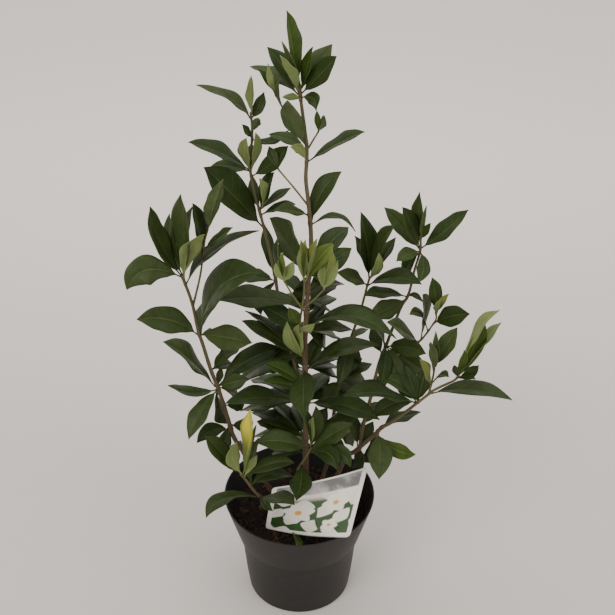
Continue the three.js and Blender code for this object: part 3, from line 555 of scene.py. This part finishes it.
class Shader:
    """A material and the nodes that make it."""

    def __init__(self, name, **fixed):
        self.material = bpy.data.materials.new(name)
        self.material.use_nodes = True
        self.tree = self.material.node_tree
        self.surface = self.tree.nodes["Principled BSDF"]
        for key, value in fixed.items():
            self.surface.inputs[key.replace("_", " ")].default_value = value

    def put(self, socket, value):
        if isinstance(value, Wire):
            self.tree.links.new(value.socket, socket)
        elif socket.type == "RGBA" and len(value) == 3:
            socket.default_value = (*value, 1.0)
        else:
            socket.default_value = value

    def node(self, kind, settings=None, sockets=None, out=0):
        """Adds a node: its settings first, then the value or wire of each socket. Returns an output."""
        node = self.tree.nodes.new(kind)
        for key, value in (settings or {}).items():
            setattr(node, key, value)
        for key, value in (sockets or {}).items():
            self.put(node.inputs[key], value)
        return Wire(self, node.outputs[out])

    def mix(self, share, first, second):
        """From one colour to another by a share."""
        return self.node("ShaderNodeMix", {"data_type": "RGBA"}, {0: share, 6: first, 7: second}, out=2)

    def number(self, name):
        """A named number of the mesh."""
        return self.node("ShaderNodeAttribute", {"attribute_name": name}, out="Fac")

    def place(self, kind):
        """Where a spot lies: on the piece's UV map, or in the piece's own space, Object."""
        return self.node("ShaderNodeTexCoord", out=kind)

    def directions(self, kind):
        """The first two coordinates of a spot's place."""
        split = self.tree.nodes.new("ShaderNodeSeparateXYZ")
        self.tree.links.new(self.place(kind).socket, split.inputs[0])
        return Wire(self, split.outputs[0]), Wire(self, split.outputs[1])

    def noise(self, scale, detail, roughness=0.55):
        where = self.place("Object")
        sockets = {"Vector": where, "Scale": scale, "Detail": detail, "Roughness": roughness}
        return self.node("ShaderNodeTexNoise", None, sockets)

    def bump(self, height, strength, distance):
        sockets = {"Height": height, "Strength": strength, "Distance": distance * MM}
        return self.node("ShaderNodeBump", None, sockets)

    def finish(self, **wires):
        for key, value in wires.items():
            self.put(self.surface.inputs[key.replace("_", " ")], value)
        return self.material


# Finishes


def leaf_finish():
    """Blades that go with their age from dark olive, through mid green, to pale olive-yellow: a midrib
    and faint side veins, a paler and duller underside, and a thin coat of wax on the mature ones."""
    s = Shader("leaf", Specular_IOR_Level=0.13, Coat_Roughness=0.35)
    across, along = s.directions("UV")
    side = (across - 0.5).size() * 2
    age, tone, under = s.number("age"), s.number("tone"), s.number("under")
    growing, young = age.between(0.0, 0.35), age.between(0.35, 1.0)
    mottle = s.noise(90.0, 4.0)
    patch = s.noise(28.0, 2.0)
    mature = s.mix(tone, (0.020, 0.035, 0.007), (0.046, 0.065, 0.018))
    mature = s.mix(patch.between(0.45, 0.75, 0.0, 0.5), mature, (0.038, 0.055, 0.012))
    fresh = s.mix(tone, (0.034, 0.062, 0.009), (0.060, 0.092, 0.014))
    pale = s.mix(tone, (0.115, 0.155, 0.030), (0.235, 0.250, 0.066))
    top = s.mix(young, s.mix(growing, mature, fresh), pale)
    top = s.mix(side.between(0.55, 1.0, 0.0, 0.4) * young, top, (0.06, 0.11, 0.018))
    below = s.mix(young, (0.072, 0.095, 0.036), (0.175, 0.215, 0.078))
    colour = s.mix(under, top, below)
    vein_run = ((along - side * VEIN_LEAN) * VEINS).part()
    vein = (vein_run - 0.5).size().between(0.42, 0.5) * side.between(0.03, 0.2) * side.between(1.0, 0.8)
    midrib = side.between(0.07, 0.02) * along.between(1.0, 0.8, 0.25, 1.0)
    rib = s.mix(young, s.mix(growing, (0.080, 0.115, 0.036), (0.16, 0.22, 0.06)), (0.30, 0.35, 0.12))
    colour = s.mix(vein * 0.2, colour, rib)
    colour = s.mix(midrib * 0.6, colour, rib)
    colour = s.mix(side.between(0.95, 1.0) * 0.25, colour, rib)
    spots = s.mix(young, (0.010, 0.019, 0.004), (0.10, 0.15, 0.03))
    colour = s.mix(mottle.between(0.4, 0.7, 0.0, 0.3), colour, spots)
    yellow = s.number("yellow") * along.between(0.3, 0.7) * side.between(1.0, 0.6, 0.45, 1.0)
    colour = s.mix(yellow, colour, (0.62, 0.56, 0.06))
    relief = vein * -1.0 + mottle * 0.35
    rough = under * 0.2 + mottle.between(0.3, 0.7, 0.42, 0.54) + young * 0.08
    return s.finish(
        Base_Color=colour, Roughness=rough, Coat_Weight=(1 - under) * 0.04,
        Normal=s.bump(relief, 0.5, 0.35))


def stem_finish():
    """Green to brown bark, browner low down and at each node ring."""
    s = Shader("stem", Roughness=0.6, Specular_IOR_Level=0.2)
    wood, ring = s.number("wood"), s.number("ring")
    grain = s.noise(420.0, 4.0)
    green = s.mix(grain, (0.085, 0.085, 0.030), (0.135, 0.125, 0.055))
    brown = s.mix(grain, (0.060, 0.036, 0.022), (0.155, 0.105, 0.068))
    colour = s.mix(wood, green, brown)
    colour = s.mix(ring * 0.75, colour, (0.10, 0.052, 0.028))
    rough = grain.between(0.3, 0.7, 0.5, 0.75)
    return s.finish(Base_Color=colour, Roughness=rough, Normal=s.bump(grain, 0.6, 0.4))


def pot_finish():
    """Dark moulded plastic: fine grain, and faint dust in patches all over."""
    s = Shader("pot", Roughness=0.45, Specular_IOR_Level=0.2)
    grain = s.noise(1500.0, 2.0)
    cloud = s.noise(16.0, 4.0)
    dust = s.noise(120.0, 5.0)
    colour = s.mix(cloud, (0.020, 0.0175, 0.016), (0.029, 0.026, 0.024))
    colour = s.mix(dust.between(0.58, 0.8, 0.0, 0.3), colour, (0.07, 0.065, 0.06))
    rough = cloud * 0.12 + grain * 0.1 + 0.36
    return s.finish(Base_Color=colour, Roughness=rough, Normal=s.bump(grain + dust * 1.5, 0.25, 0.12))


def soil_finish():
    """Damp peat, near black, with brown crumbs."""
    s = Shader("soil", Roughness=0.95, Specular_IOR_Level=0.25)
    crumbs = s.noise(260.0, 6.0, 0.7)
    colour = s.mix(crumbs.between(0.35, 0.7), (0.005, 0.0032, 0.0024), (0.022, 0.012, 0.0085))
    return s.finish(Base_Color=colour, Normal=s.bump(crumbs, 1.0, 1.6))


def bark_finish():
    """Chips of bark, from near black to orange-brown, with a fibre grain."""
    s = Shader("bark", Roughness=0.9, Specular_IOR_Level=0.3)
    tone = s.number("tone")
    fibre = s.noise(500.0, 5.0, 0.7)
    colour = s.mix(tone, (0.009, 0.0055, 0.004), (0.085, 0.034, 0.014))
    colour = s.mix(fibre.between(0.35, 0.75, 0.0, 0.6), colour, (0.03, 0.016, 0.01))
    return s.finish(Base_Color=colour, Normal=s.bump(fibre, 0.9, 0.8))


def bloom(s, across, along, place, radius, petals, turn):
    """How much of a spot lies in a rosette: a disc whose edge goes in and out with the angle, as
    many times as it has petals. Returns the petals, and the spot's distance from the centre."""
    x = (across - place[0]) * 1.12
    y = along - place[1]
    far = (x * x + y * y) ** 0.5
    angle = s.node("ShaderNodeMath", {"operation": "ARCTAN2"}, {0: y, 1: x})
    edge = ((angle * petals + turn).sine() * 0.13 + 0.87) * radius
    return (far - edge).between(0.012, -0.012), far


def panel(across, along, wide, high, soft):
    """How much of a spot lies in an upright panel whose edges fade inwards over soft."""
    share = across.between(wide[0], wide[0] + soft[0]) * across.between(wide[1], wide[1] - soft[0])
    return share * along.between(high[0], high[0] + soft[1]) * along.between(high[1], high[1] - soft[1])


def card_finish():
    """A coated picture card: a cream border round a generic print of three pale rosettes on leaves,
    under a grey band, with a small violet tab. It carries no lettering."""
    s = Shader("card", Roughness=0.3, Specular_IOR_Level=0.5)
    across, along = s.directions("UV")
    cream = (0.90, 0.84, 0.75)
    cloud = s.noise(30.0, 3.0)
    ground = s.mix(cloud.between(0.4, 0.65), (0.80, 0.76, 0.66), (0.92, 0.86, 0.78))
    bent = across + (along * 9).sine() * 0.06
    hatch = ((bent * 17 + along * 9).sine() * (bent * 7 - along * 13).sine()).between(-0.14, 0.0)
    leaves = s.mix(cloud, (0.012, 0.036, 0.012), (0.075, 0.14, 0.045))
    colour = s.mix(hatch * along.between(0.72, 0.6), ground, leaves)
    band = along.between(0.74, 0.78)
    grey = s.mix(s.noise(45.0, 4.0).between(0.35, 0.65), (0.16, 0.15, 0.15), (0.50, 0.48, 0.46))
    colour = s.mix(band, colour, grey)
    for place, radius, petals, turn in CARD_BLOOMS:
        petal, far = bloom(s, across, along, place, radius, petals, turn)
        white = s.mix(far.between(0.2 * radius, radius), (0.92, 0.86, 0.66), (0.88, 0.86, 0.78))
        colour = s.mix(petal, colour, white)
        colour = s.mix(far.between(0.26 * radius, 0.16 * radius), colour, (0.75, 0.36, 0.10))
    tab = panel(across, along, (0.055, 0.20), (0.81, 0.93), (0.005, 0.005))
    colour = s.mix(tab, colour, (0.27, 0.24, 0.42))
    inside = panel(across, along, (0.048, 0.952), (0.065, 0.98), (0.006, 0.008))
    colour = s.mix(inside, cream, colour)
    colour = s.mix(s.number("back"), colour, cream)
    return s.finish(Base_Color=colour, Roughness=cloud.between(0.3, 0.7, 0.26, 0.36))


def stake_painted_shade_finish():
    """Painted shade: a near-black colour that stands for the shade the stake lies in, with a fine grain in
    its roughness and surface.
    """
    s = Shader("stake", Specular_IOR_Level=0.4)
    grain = s.noise(900.0, 4.0)
    # Painted shade: near black for the shadowed stake
    colour = s.mix(grain, (0.01128, 0.01128, 0.01128), (0.01248, 0.01248, 0.01248))
    rough = grain.between(0.3, 0.7, 0.45, 0.55)
    return s.finish(Base_Color=colour, Roughness=rough, Normal=s.bump(grain, 0.2, 0.1))


CARD_BLOOMS = [
    ((0.34, 0.42), 0.21, 7, 0.4),
    ((0.74, 0.56), 0.17, 6, 1.1),
    ((0.72, 0.20), 0.11, 5, 2.0),
]


# Stems


def girth_at(stem, share):
    """A stem's thickness in mm at a share of the way up it."""
    return stem["girth"][0] + share * (stem["girth"][1] - stem["girth"][0])


def nearest(line, x, z):
    """The sample of a stem's line whose reading lies nearest to (x, z): the reading, its share of
    the way up, its point in space and the way the stem grows there."""
    best = int(np.argmin((line[:, 0] - x) ** 2 + (line[:, 2] - z) ** 2))
    low, high = max(0, best - 4), min(len(line) - 1, best + 4)
    ends = seen(line[[low, high], 0], line[[low, high], 2], line[[low, high], 1])
    point = seen(*line[best, [0, 2, 1]])
    return line[best], best / (len(line) - 1), point, unit(ends[1] - ends[0])


def stem_line(stem, lines):
    """A stem's readings as a smooth line; one that grows from another starts on its axis."""
    course = [[x, y, z] for x, z, y in stem["course"]]
    if stem["from"] != "soil":
        course[0] = nearest(lines[stem["from"]], course[0][0], course[0][2])[0]
    return smooth_line(course, READING_STEP)


def tube(line, radius, sides=STEM_SIDES):
    """A pipe along a line: at each point a ring square to the line, of its own radius; its far end is
    closed by a low dome of shrinking rings."""
    along = unit(np.gradient(line, axis=0))
    dome = np.array([0.5, 0.86, 0.99])
    tail = line[-1] + along[-1] * radius[-1] * dome[:, None]
    line = np.vstack([line, tail])
    radius = np.concatenate([radius, radius[-1] * np.sqrt(np.maximum(0.0, 1 - dome**2))])
    along = np.vstack([along, np.repeat(along[-1:], 3, 0)])
    across = square_to(np.broadcast_to([1.0, 0, 0], along.shape), along)
    front = np.cross(along, across)
    cosine, sine = circle(sides)
    ring = cosine[:, None] * across[:, None] + sine[:, None] * front[:, None]
    points = line[:, None] + radius[:, None, None] * ring
    return points.reshape(-1, 3), closed_rings(len(line), sides), len(line)


def stem_mesh(stem, line):
    """A tapered stem that swells a little, in a ring, wherever leaves leave it. Returns its points,
    faces and two marks a point: how woody it is, and how near to a ring."""
    course = seen(line[:, 0], line[:, 2], line[:, 1])
    if stem["from"] == "soil":
        x, y = stem["foot"]
        foot = [[x, y, SOIL_TOP + height] for height in FOOT_HEIGHTS]
        course = np.vstack([foot, course[::KEEP_EVERY]])
    course = smooth_line(course, STEM_STEP)
    share = np.linspace(0, 1, len(course))
    ring = np.zeros(len(course))
    for base_x, base_z, *_ in stem["leaves"]:
        _, _, point, _ = nearest(line, base_x, base_z)
        far = np.linalg.norm(course - point, axis=1)
        ring = np.maximum(ring, np.exp(-((far / RING_REACH) ** 2)))
    radius = girth_at(stem, share) / 2 * (1 + RING_SWELL * ring) * (1 + 0.03 * np.sin(course[:, 2] * 0.4))
    points, faces, rows = tube(course, radius)
    thick = np.clip((girth_at(stem, share) - 2.4) / 4.0, 0, 1)
    marks = [np.repeat(np.pad(m, (0, rows - len(m)), "edge"), STEM_SIDES) for m in (thick, ring)]
    return points, faces, marks


# Leaves


def outline(share):
    """Half a blade's width against its length: a wedge base, widest past the middle, a drawn-out
    tip, and a narrow stalk before it."""
    blade = np.sin(np.pi * share**1.22) ** 0.9 * (1 - 0.3 * share**6)
    stalk = np.clip((share - 0.02) / 0.16, 0, 1)
    return blade * stalk * stalk * (3 - 2 * stalk)


def blade_pose(root, tip, along, seen_width, age):
    """The blade's length, width and the way its upper face looks: up the stem in the natural pose,
    then rolled about its chord till it shows the width that was read. A pale leaf shows its
    underside, so it is rolled to the far pose."""
    chord = tip - root
    length = np.linalg.norm(chord)
    chord = chord / length
    natural = square_to(along, chord)
    to_eye = square_to(unit(EYE - 0.5 * (root + tip)), chord)
    beside = np.cross(chord, to_eye)
    width = max(seen_width, FULL_WIDTH["mature" if age == "m" else "young"] * length)
    roll = math.acos(min(1.0, seen_width / width))
    shows = -1 if age == "p" or natural @ to_eye < UNDERSIDE_FROM else 1
    leans = -1 if natural @ beside < 0 else 1
    return length, width, shows * math.cos(roll) * to_eye + leans * math.sin(roll) * beside


def blade_lift(s, u, half, age, draw):
    """How far a blade lies over the plane of its midrib: its halves fold up and flatten out, its edge
    waves, it is quilted between the side veins, and it is grooved along the midrib and twisted."""
    side = np.abs(u)
    wave_turn, wave_size, twist = draw.uniform(0, 6.28), draw.uniform(0.05, 0.14), draw.uniform(-0.16, 0.16)
    fold = FORMS[age]["fold"] * half * (1.5 * side - 0.5 * side**2)
    wave = wave_size * half * side**2 * np.sin(2 * np.pi * 1.7 * s + wave_turn + 1.9 * (u > 0)) * (s > 0.05)
    quilt = np.abs(np.sin(np.pi * (s - side * VEIN_LEAN) * VEINS)) * (1 - side**3) * np.minimum(1, side * 5)
    quilt = 0.028 * half * quilt * (1 - 0.6 * AGES[age])
    groove = -0.25 * np.exp(-((u * half / 0.9) ** 2))
    return fold + wave + quilt + groove + twist * half * u


def midrib_frame(s, root, bend, tip, face):
    """A parabola from root to tip: its points, the way across the blade and the way up from it."""
    midrib = (1 - s) ** 2 * root + 2 * s * (1 - s) * bend + s**2 * tip
    forward = unit(2 * (1 - s) * (bend - root) + 2 * s * (tip - bend))
    up = square_to(np.broadcast_to(face, forward.shape), forward)
    return midrib, np.cross(forward, up), up


def leaf_mesh(row, stem, line, draw):
    """A blade as two grids, its faces, sewn along the edge. Its midrib is an arch through its middle,
    with a ridge under it. A long blade has more points."""
    base_x, base_z, tip_x, tip_z, tip_y, seen_width, age, *over = row
    reading, height, axis, along = nearest(line, base_x, base_z)
    tip = seen(tip_x, tip_z, tip_y)
    bark = girth_at(stem, height) / 2 - SUNK
    root = axis + bark * square_to(tip - axis, along)
    length, width, face = blade_pose(root, tip, along, seen_width, age)
    plain_arch = 0.5 * (root + tip) + FORMS[age]["arch"] * length * face
    middle = seen(*over, 0.5 * (reading[1] + tip_y)) if over else plain_arch
    bend = 2 * middle - 0.5 * (root + tip)
    rows = 34 if length > 45 else 22 if length > 25 else 14
    columns = 13 if length > 45 else 9
    s = (np.linspace(0, 1, rows) ** 0.94)[:, None]
    spread = np.linspace(-1, 1, columns)
    u = (spread * (0.55 + 0.45 * np.abs(spread)))[None, :]
    midrib, across, up = midrib_frame(s, root, bend, tip, face)
    half = np.maximum(STALK / 2 * (1 - 0.75 * s**4), 0.5 * width * outline(s))
    uneven = draw.uniform(0.02, 0.06)
    half = half * (1 + uneven * np.sin(2 * np.pi * (draw.uniform(2.0, 3.4) * s + draw.uniform())))
    lift = blade_lift(s, u, half, age, draw)
    top = midrib[:, None] + (half * u)[..., None] * across[:, None] + lift[..., None] * up[:, None]
    ridge = 0.7 * np.exp(-((u * half) ** 2)) * (1 - 0.7 * s)
    thick = BLADE * (0.45 + 0.55 * (1 - np.abs(u) ** 6)) + ridge
    below = top - thick[..., None] * up[:, None]
    count = rows * columns
    points = np.concatenate([top.reshape(-1, 3), below.reshape(-1, 3)])
    uv = np.stack([0.5 + 0.5 * u + 0 * s, s + 0 * u], -1).reshape(-1, 2)
    marks = {
        "age": np.full(2 * count, AGES[age]),
        "tone": np.full(2 * count, draw.uniform(0, 1)),
        "under": np.repeat([0.0, 1.0], count),
        "yellow": np.full(2 * count, float(row == YELLOW_LEAF)),
    }
    return points, sewn_sheets(rows, columns, True), np.vstack([uv, uv]), marks


# Shoots: each is the leaves and the stems of one node


def joined(parts):
    """Point arrays and their faces as one: each part's faces count on from the points before it."""
    start = 0
    points, faces = [], []
    for part_points, part_faces in parts:
        points.append(part_points)
        faces += [[k + start for k in f] for f in part_faces]
        start += len(part_points)
    return np.vstack(points), faces


def blades_piece(name, blades, leaf):
    """One piece of many blades, with their UV maps and marks."""
    points, faces = joined([(p, f) for p, f, _, _ in blades])
    uv = np.vstack([blade[2] for blade in blades])
    marks = {key: np.concatenate([blade[3][key] for blade in blades]) for key in LEAF_MARKS}
    return new_piece(name, points, faces, leaf, uv=uv, marks=marks)


def make_shoots(leaf, bark):
    """Two pieces a node, its stems and its leaves. Returns the line of each stem."""
    lines, home, shoots = {}, {}, {}
    draw = np.random.default_rng(5)
    for stem in STEMS:
        line = stem_line(stem, lines)
        lines[stem["name"]] = line
        home[stem["name"]] = stem["name"] if stem["from"] == "soil" else home[stem["from"]]
        shoot = shoots.setdefault(home[stem["name"]], {"stems": [], "leaves": []})
        shoot["stems"].append(stem_mesh(stem, line))
        shoot["leaves"] += [leaf_mesh(row, stem, line, draw) for row in stem["leaves"]]
    for name, shoot in shoots.items():
        points, faces = joined([(p, f) for p, f, _ in shoot["stems"]])
        wood, ring = (np.concatenate(values) for values in zip(*(s[2] for s in shoot["stems"])))
        stems = new_piece(f"{name}_stems", points, faces, bark, marks={"wood": wood, "ring": ring})
        settle(stems, "foliage", name)
        settle(blades_piece(f"{name}_leaves", shoot["leaves"], leaf), "foliage", name)
    return lines


def make_inner_leaves(leaf, lines):
    """The small dark leaves deep among the others, as one piece."""
    draw = np.random.default_rng(23)
    stems = {stem["name"]: stem for stem in STEMS}
    blades = [
        leaf_mesh(row, stems[name], lines[name], draw)
        for name, rows in INNER_LEAVES for row in rows]
    settle(blades_piece("inner_leaves", blades, leaf), "foliage")


def make_fallen_leaf(leaf):
    """One more leaf, that grows from nothing: its stalk starts on a short upright line on the soil."""
    stem = {"girth": [1.5, 1.5]}
    x, y, z = FALLEN_FROM
    line = np.array([[x, y, z], [x, y, z + 3]], float)
    blade = leaf_mesh(FALLEN_LEAF, stem, line, np.random.default_rng(3))
    settle(blades_piece("fallen_leaf", [blade], leaf), "foliage")


# Pot, soil and label


def pot_profile():
    """The pot's wall as radius and height: up the outside, over the rim and down the inside."""
    outside = [[POT_CENTRE, 0], *POT_OUTSIDE]
    inside = [[radius - POT_WALL, height] for radius, height in POT_OUTSIDE[:1:-1]]
    floor = [[POT_INNER_FLOOR, POT_FLOOR], [POT_CENTRE, POT_FLOOR]]
    return round_corners([*outside, *inside, *floor], POT_ROUNDING)


def wall_radius(height):
    """The radius of the pot's inner wall at a height."""
    radii, heights = np.array(POT_OUTSIDE).T
    return float(np.interp(height, heights, radii)) - POT_WALL


def make_pot(plastic, sides=144):
    """The pot's profile turned about Z: each of its points, of a radius and a height, makes a ring."""
    radius, height = np.hsplit(pot_profile(), 2)
    cosine, sine = circle(sides)
    points = np.stack([radius * cosine, radius * sine, height + 0 * sine], -1)
    pot = new_piece("pot", points.reshape(-1, 3), closed_rings(len(radius), sides), plastic)
    settle(pot, "pot", "pot")


def soil_height(x, y):
    """The soil's top: low lumps from crossed waves, and a little lower at the wall."""
    lumps = np.sin(x * 0.21 + 1.3 * np.sin(y * 0.13)) * np.cos(y * 0.24 + 0.8 * np.sin(x * 0.17))
    fine = np.sin(x * 0.83 + y * 0.4) * np.sin(y * 0.91 - x * 0.35)
    edge = np.sqrt(x * x + y * y) / wall_radius(SOIL_TOP)
    return SOIL_TOP - 1.8 + 0.9 * lumps + 0.5 * fine - 1.2 * edge**4


def make_soil(earth):
    """The soil's body: its side follows the wall, and its top is a disc of rings raised by soil_height."""
    sides = 120
    cosine, sine = circle(sides)
    side_heights = [POT_FLOOR + 0.4, 24, 66, 71, 86]
    rings = [(wall_radius(h) - SOIL_GAP, h) for h in side_heights]
    points = [
        np.stack([radius * cosine, radius * sine, np.full(sides, float(height))], -1)
        for radius, height in rings]
    top = wall_radius(SOIL_TOP) - SOIL_GAP
    for radius in top * np.linspace(1, 0.004, 44):
        x, y = radius * cosine, radius * sine
        points.append(np.stack([x, y, soil_height(x, y)], -1))
    soil = new_piece("soil", np.vstack(points), closed_rings(len(points), sides), earth)
    settle(soil, "soil", "soil")


def turn_in_plane(angle, first, second):
    """A matrix that turns points, as rows, by an angle in the plane of two axes."""
    matrix = np.eye(3)
    matrix[first, first] = matrix[second, second] = math.cos(angle)
    matrix[first, second] = math.sin(angle)
    matrix[second, first] = -math.sin(angle)
    return matrix


def make_bark(finish, count=330):
    """Chips of bark strewn over the soil: each a bent, tapered slab of 3 by 3 by 2 points."""
    draw = np.random.default_rng(11)
    grid = np.array([[i, j, k] for k in (-1, 1) for i in (-1, 0, 1) for j in (-1, 0, 1)], float)
    layer = len(grid) // 2
    bottom = [[k, k + 1, k + 4, k + 3] for k in (0, 1, 3, 4)]
    top = [[a + layer, d + layer, c + layer, b + layer] for a, b, c, d in bottom]
    rim = [0, 1, 2, 5, 8, 7, 6, 3]
    skirt = [[b, a, a + layer, b + layer] for a, b in zip(rim, rim[1:] + rim[:1])]
    parts, tones = [], []
    for _ in range(count):
        radius = (wall_radius(SOIL_TOP) - 6) * math.sqrt(draw.uniform())
        turn, around = draw.uniform(0, math.pi), draw.uniform(0, 2 * math.pi)
        x, y = radius * math.cos(around), radius * math.sin(around)
        half = np.array([draw.uniform(2.2, 6.5), draw.uniform(1.2, 3.2), draw.uniform(0.5, 1.2)])
        chip = grid * half * (1 + draw.uniform(-0.28, 0.28, grid.shape))
        chip[:, 2] += 0.05 * chip[:, 0] ** 2 * draw.uniform(-1, 1)
        lean = draw.uniform(-0.5, 0.5)
        chip = chip @ turn_in_plane(lean, 0, 2) @ turn_in_plane(turn, 0, 1)
        chip[:, 2] = np.minimum(chip[:, 2], 2.4)
        parts.append((chip + [x, y, float(soil_height(x, y)) + 0.5], bottom + top + skirt))
        tones.append(np.full(len(grid), draw.uniform(0, 1) ** 4))
    points, faces = joined(parts)
    chips = new_piece("bark_chips", points, faces, finish, marks={"tone": np.concatenate(tones)})
    settle(chips, "soil")


def card_surface(across, up):
    """The card's mid surface: its four corners blended, with a shallow bow across its width."""
    low_left, low_right, top_right, top_left = (seen(*corner) for corner in CARD["corners"])
    low = low_left + across[..., None] * (low_right - low_left)
    top = top_left + across[..., None] * (top_right - top_left)
    point = low + up[..., None] * (top - low)
    point[..., 1] += CARD["bow"] * np.sin(np.pi * across)
    return point


def make_card(print_finish):
    """The card as two grids, its print and its back, sewn along the edge. Towards its sides the grid
    is shortened by a quarter circle, which rounds the corners."""
    columns, rows = 61, 41
    across = (0.5 - 0.5 * np.cos(np.pi * np.linspace(0, 1, columns)))[:, None] + np.zeros(rows)
    from_end = CARD["wide"] * np.minimum(across, 1 - across)
    inside = np.clip(CARD["round"] - from_end, 0, CARD["round"])
    short = (CARD["round"] - np.sqrt(CARD["round"] ** 2 - inside**2)) / CARD["high"]
    up = short + (1 - 2 * short) * np.linspace(0, 1, rows)
    middle = card_surface(across, up)
    step = np.array([0, CARD["thick"] / 2, 0])
    points = np.concatenate([(middle - step).reshape(-1, 3), (middle + step).reshape(-1, 3)])
    uv = np.stack([across, up], -1).reshape(-1, 2)
    card = new_piece(
        "label_card", points, sewn_sheets(columns, rows, False), print_finish,
        uv=np.vstack([uv, uv]), marks={"back": np.repeat([0.0, 1.0], rows * columns)})
    settle(card, "label_card", "label_card")


# Floor, light and camera


def paper_painted_light_finish():
    """Matt paper with painted light: its colour grows paler from the front to the back, as a lit wall behind
    would look.
    """
    s = Shader("paper", Roughness=0.85, Specular_IOR_Level=0.2)
    _, depth = s.directions("Object")
    # Painted light: paler towards the back
    colour = s.mix(depth.between(0.0, 1.3), (0.63, 0.585, 0.55), (0.89, 0.82, 0.765))
    return s.finish(Base_Color=colour)


def make_stage():
    """A flat square floor, wide enough to fill the picture."""
    half = 6000
    points = [[-half, -half, 0], [half, -half, 0], [half, half, 0], [-half, half, 0]]
    new_piece("floor", points, [[0, 1, 2, 3]], paper_painted_light_finish())


def add_light(name, place, target, size, power, colour=(1, 1, 1)):
    """A round lamp at a place that looks at a target, in metres and watts."""
    lamp = bpy.data.lights.new(name, "AREA")
    lamp.shape = "DISK"
    lamp.size = size
    lamp.energy = power
    lamp.color = colour
    light = bpy.data.objects.new(name, lamp)
    light.location = place
    aim = np.array(target) - np.array(place)
    light.rotation_euler = (math.atan2(math.hypot(aim[0], aim[1]), -aim[2]), 0, math.atan2(-aim[0], aim[1]))
    bpy.context.collection.objects.link(light)


def make_lights():
    """An even, bright room, with a key lamp, a fill and one that lights the floor behind."""
    world = bpy.data.worlds.new("studio")
    world.use_nodes = True
    room = world.node_tree.nodes["Background"].inputs
    room["Color"].default_value = (1.0, 0.985, 0.965, 1)
    room["Strength"].default_value = 0.84
    bpy.context.scene.world = world
    add_light("key", (-0.9, -1.5, 2.3), (0, 0, 0.35), 1.3, 30, (1.0, 0.98, 0.95))
    add_light("fill", (1.6, -1.3, 1.6), (0, 0, 0.35), 1.6, 12)
    add_light("back", (0.0, 0.6, 1.9), (0, 1.6, 0.0), 1.6, 16, (1.0, 0.975, 0.95))


def make_camera():
    """The camera where the eye was, with the picture's middle a little beside its axis."""
    camera = bpy.data.cameras.new("camera")
    camera.lens = camera.sensor_width * LENS_WIDTHS
    camera.shift_x = AXIS_LEFT
    eye = bpy.data.objects.new("camera", camera)
    eye.location = EYE * MM
    eye.rotation_euler = (math.pi / 2 - EYE_DOWN, 0, 0)
    bpy.context.collection.objects.link(eye)
    bpy.context.scene.camera = eye


make_camera()
make_stage()
make_lights()
leaf = leaf_finish()
stem_lines = make_shoots(leaf, stem_finish())
make_inner_leaves(leaf, stem_lines)
make_fallen_leaf(leaf)
make_pot(pot_finish())
make_soil(soil_finish())
make_bark(bark_finish())
make_card(card_finish())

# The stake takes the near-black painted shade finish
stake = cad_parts["label_stake"]
stake.data.materials.clear()
stake.data.materials.append(stake_painted_shade_finish())
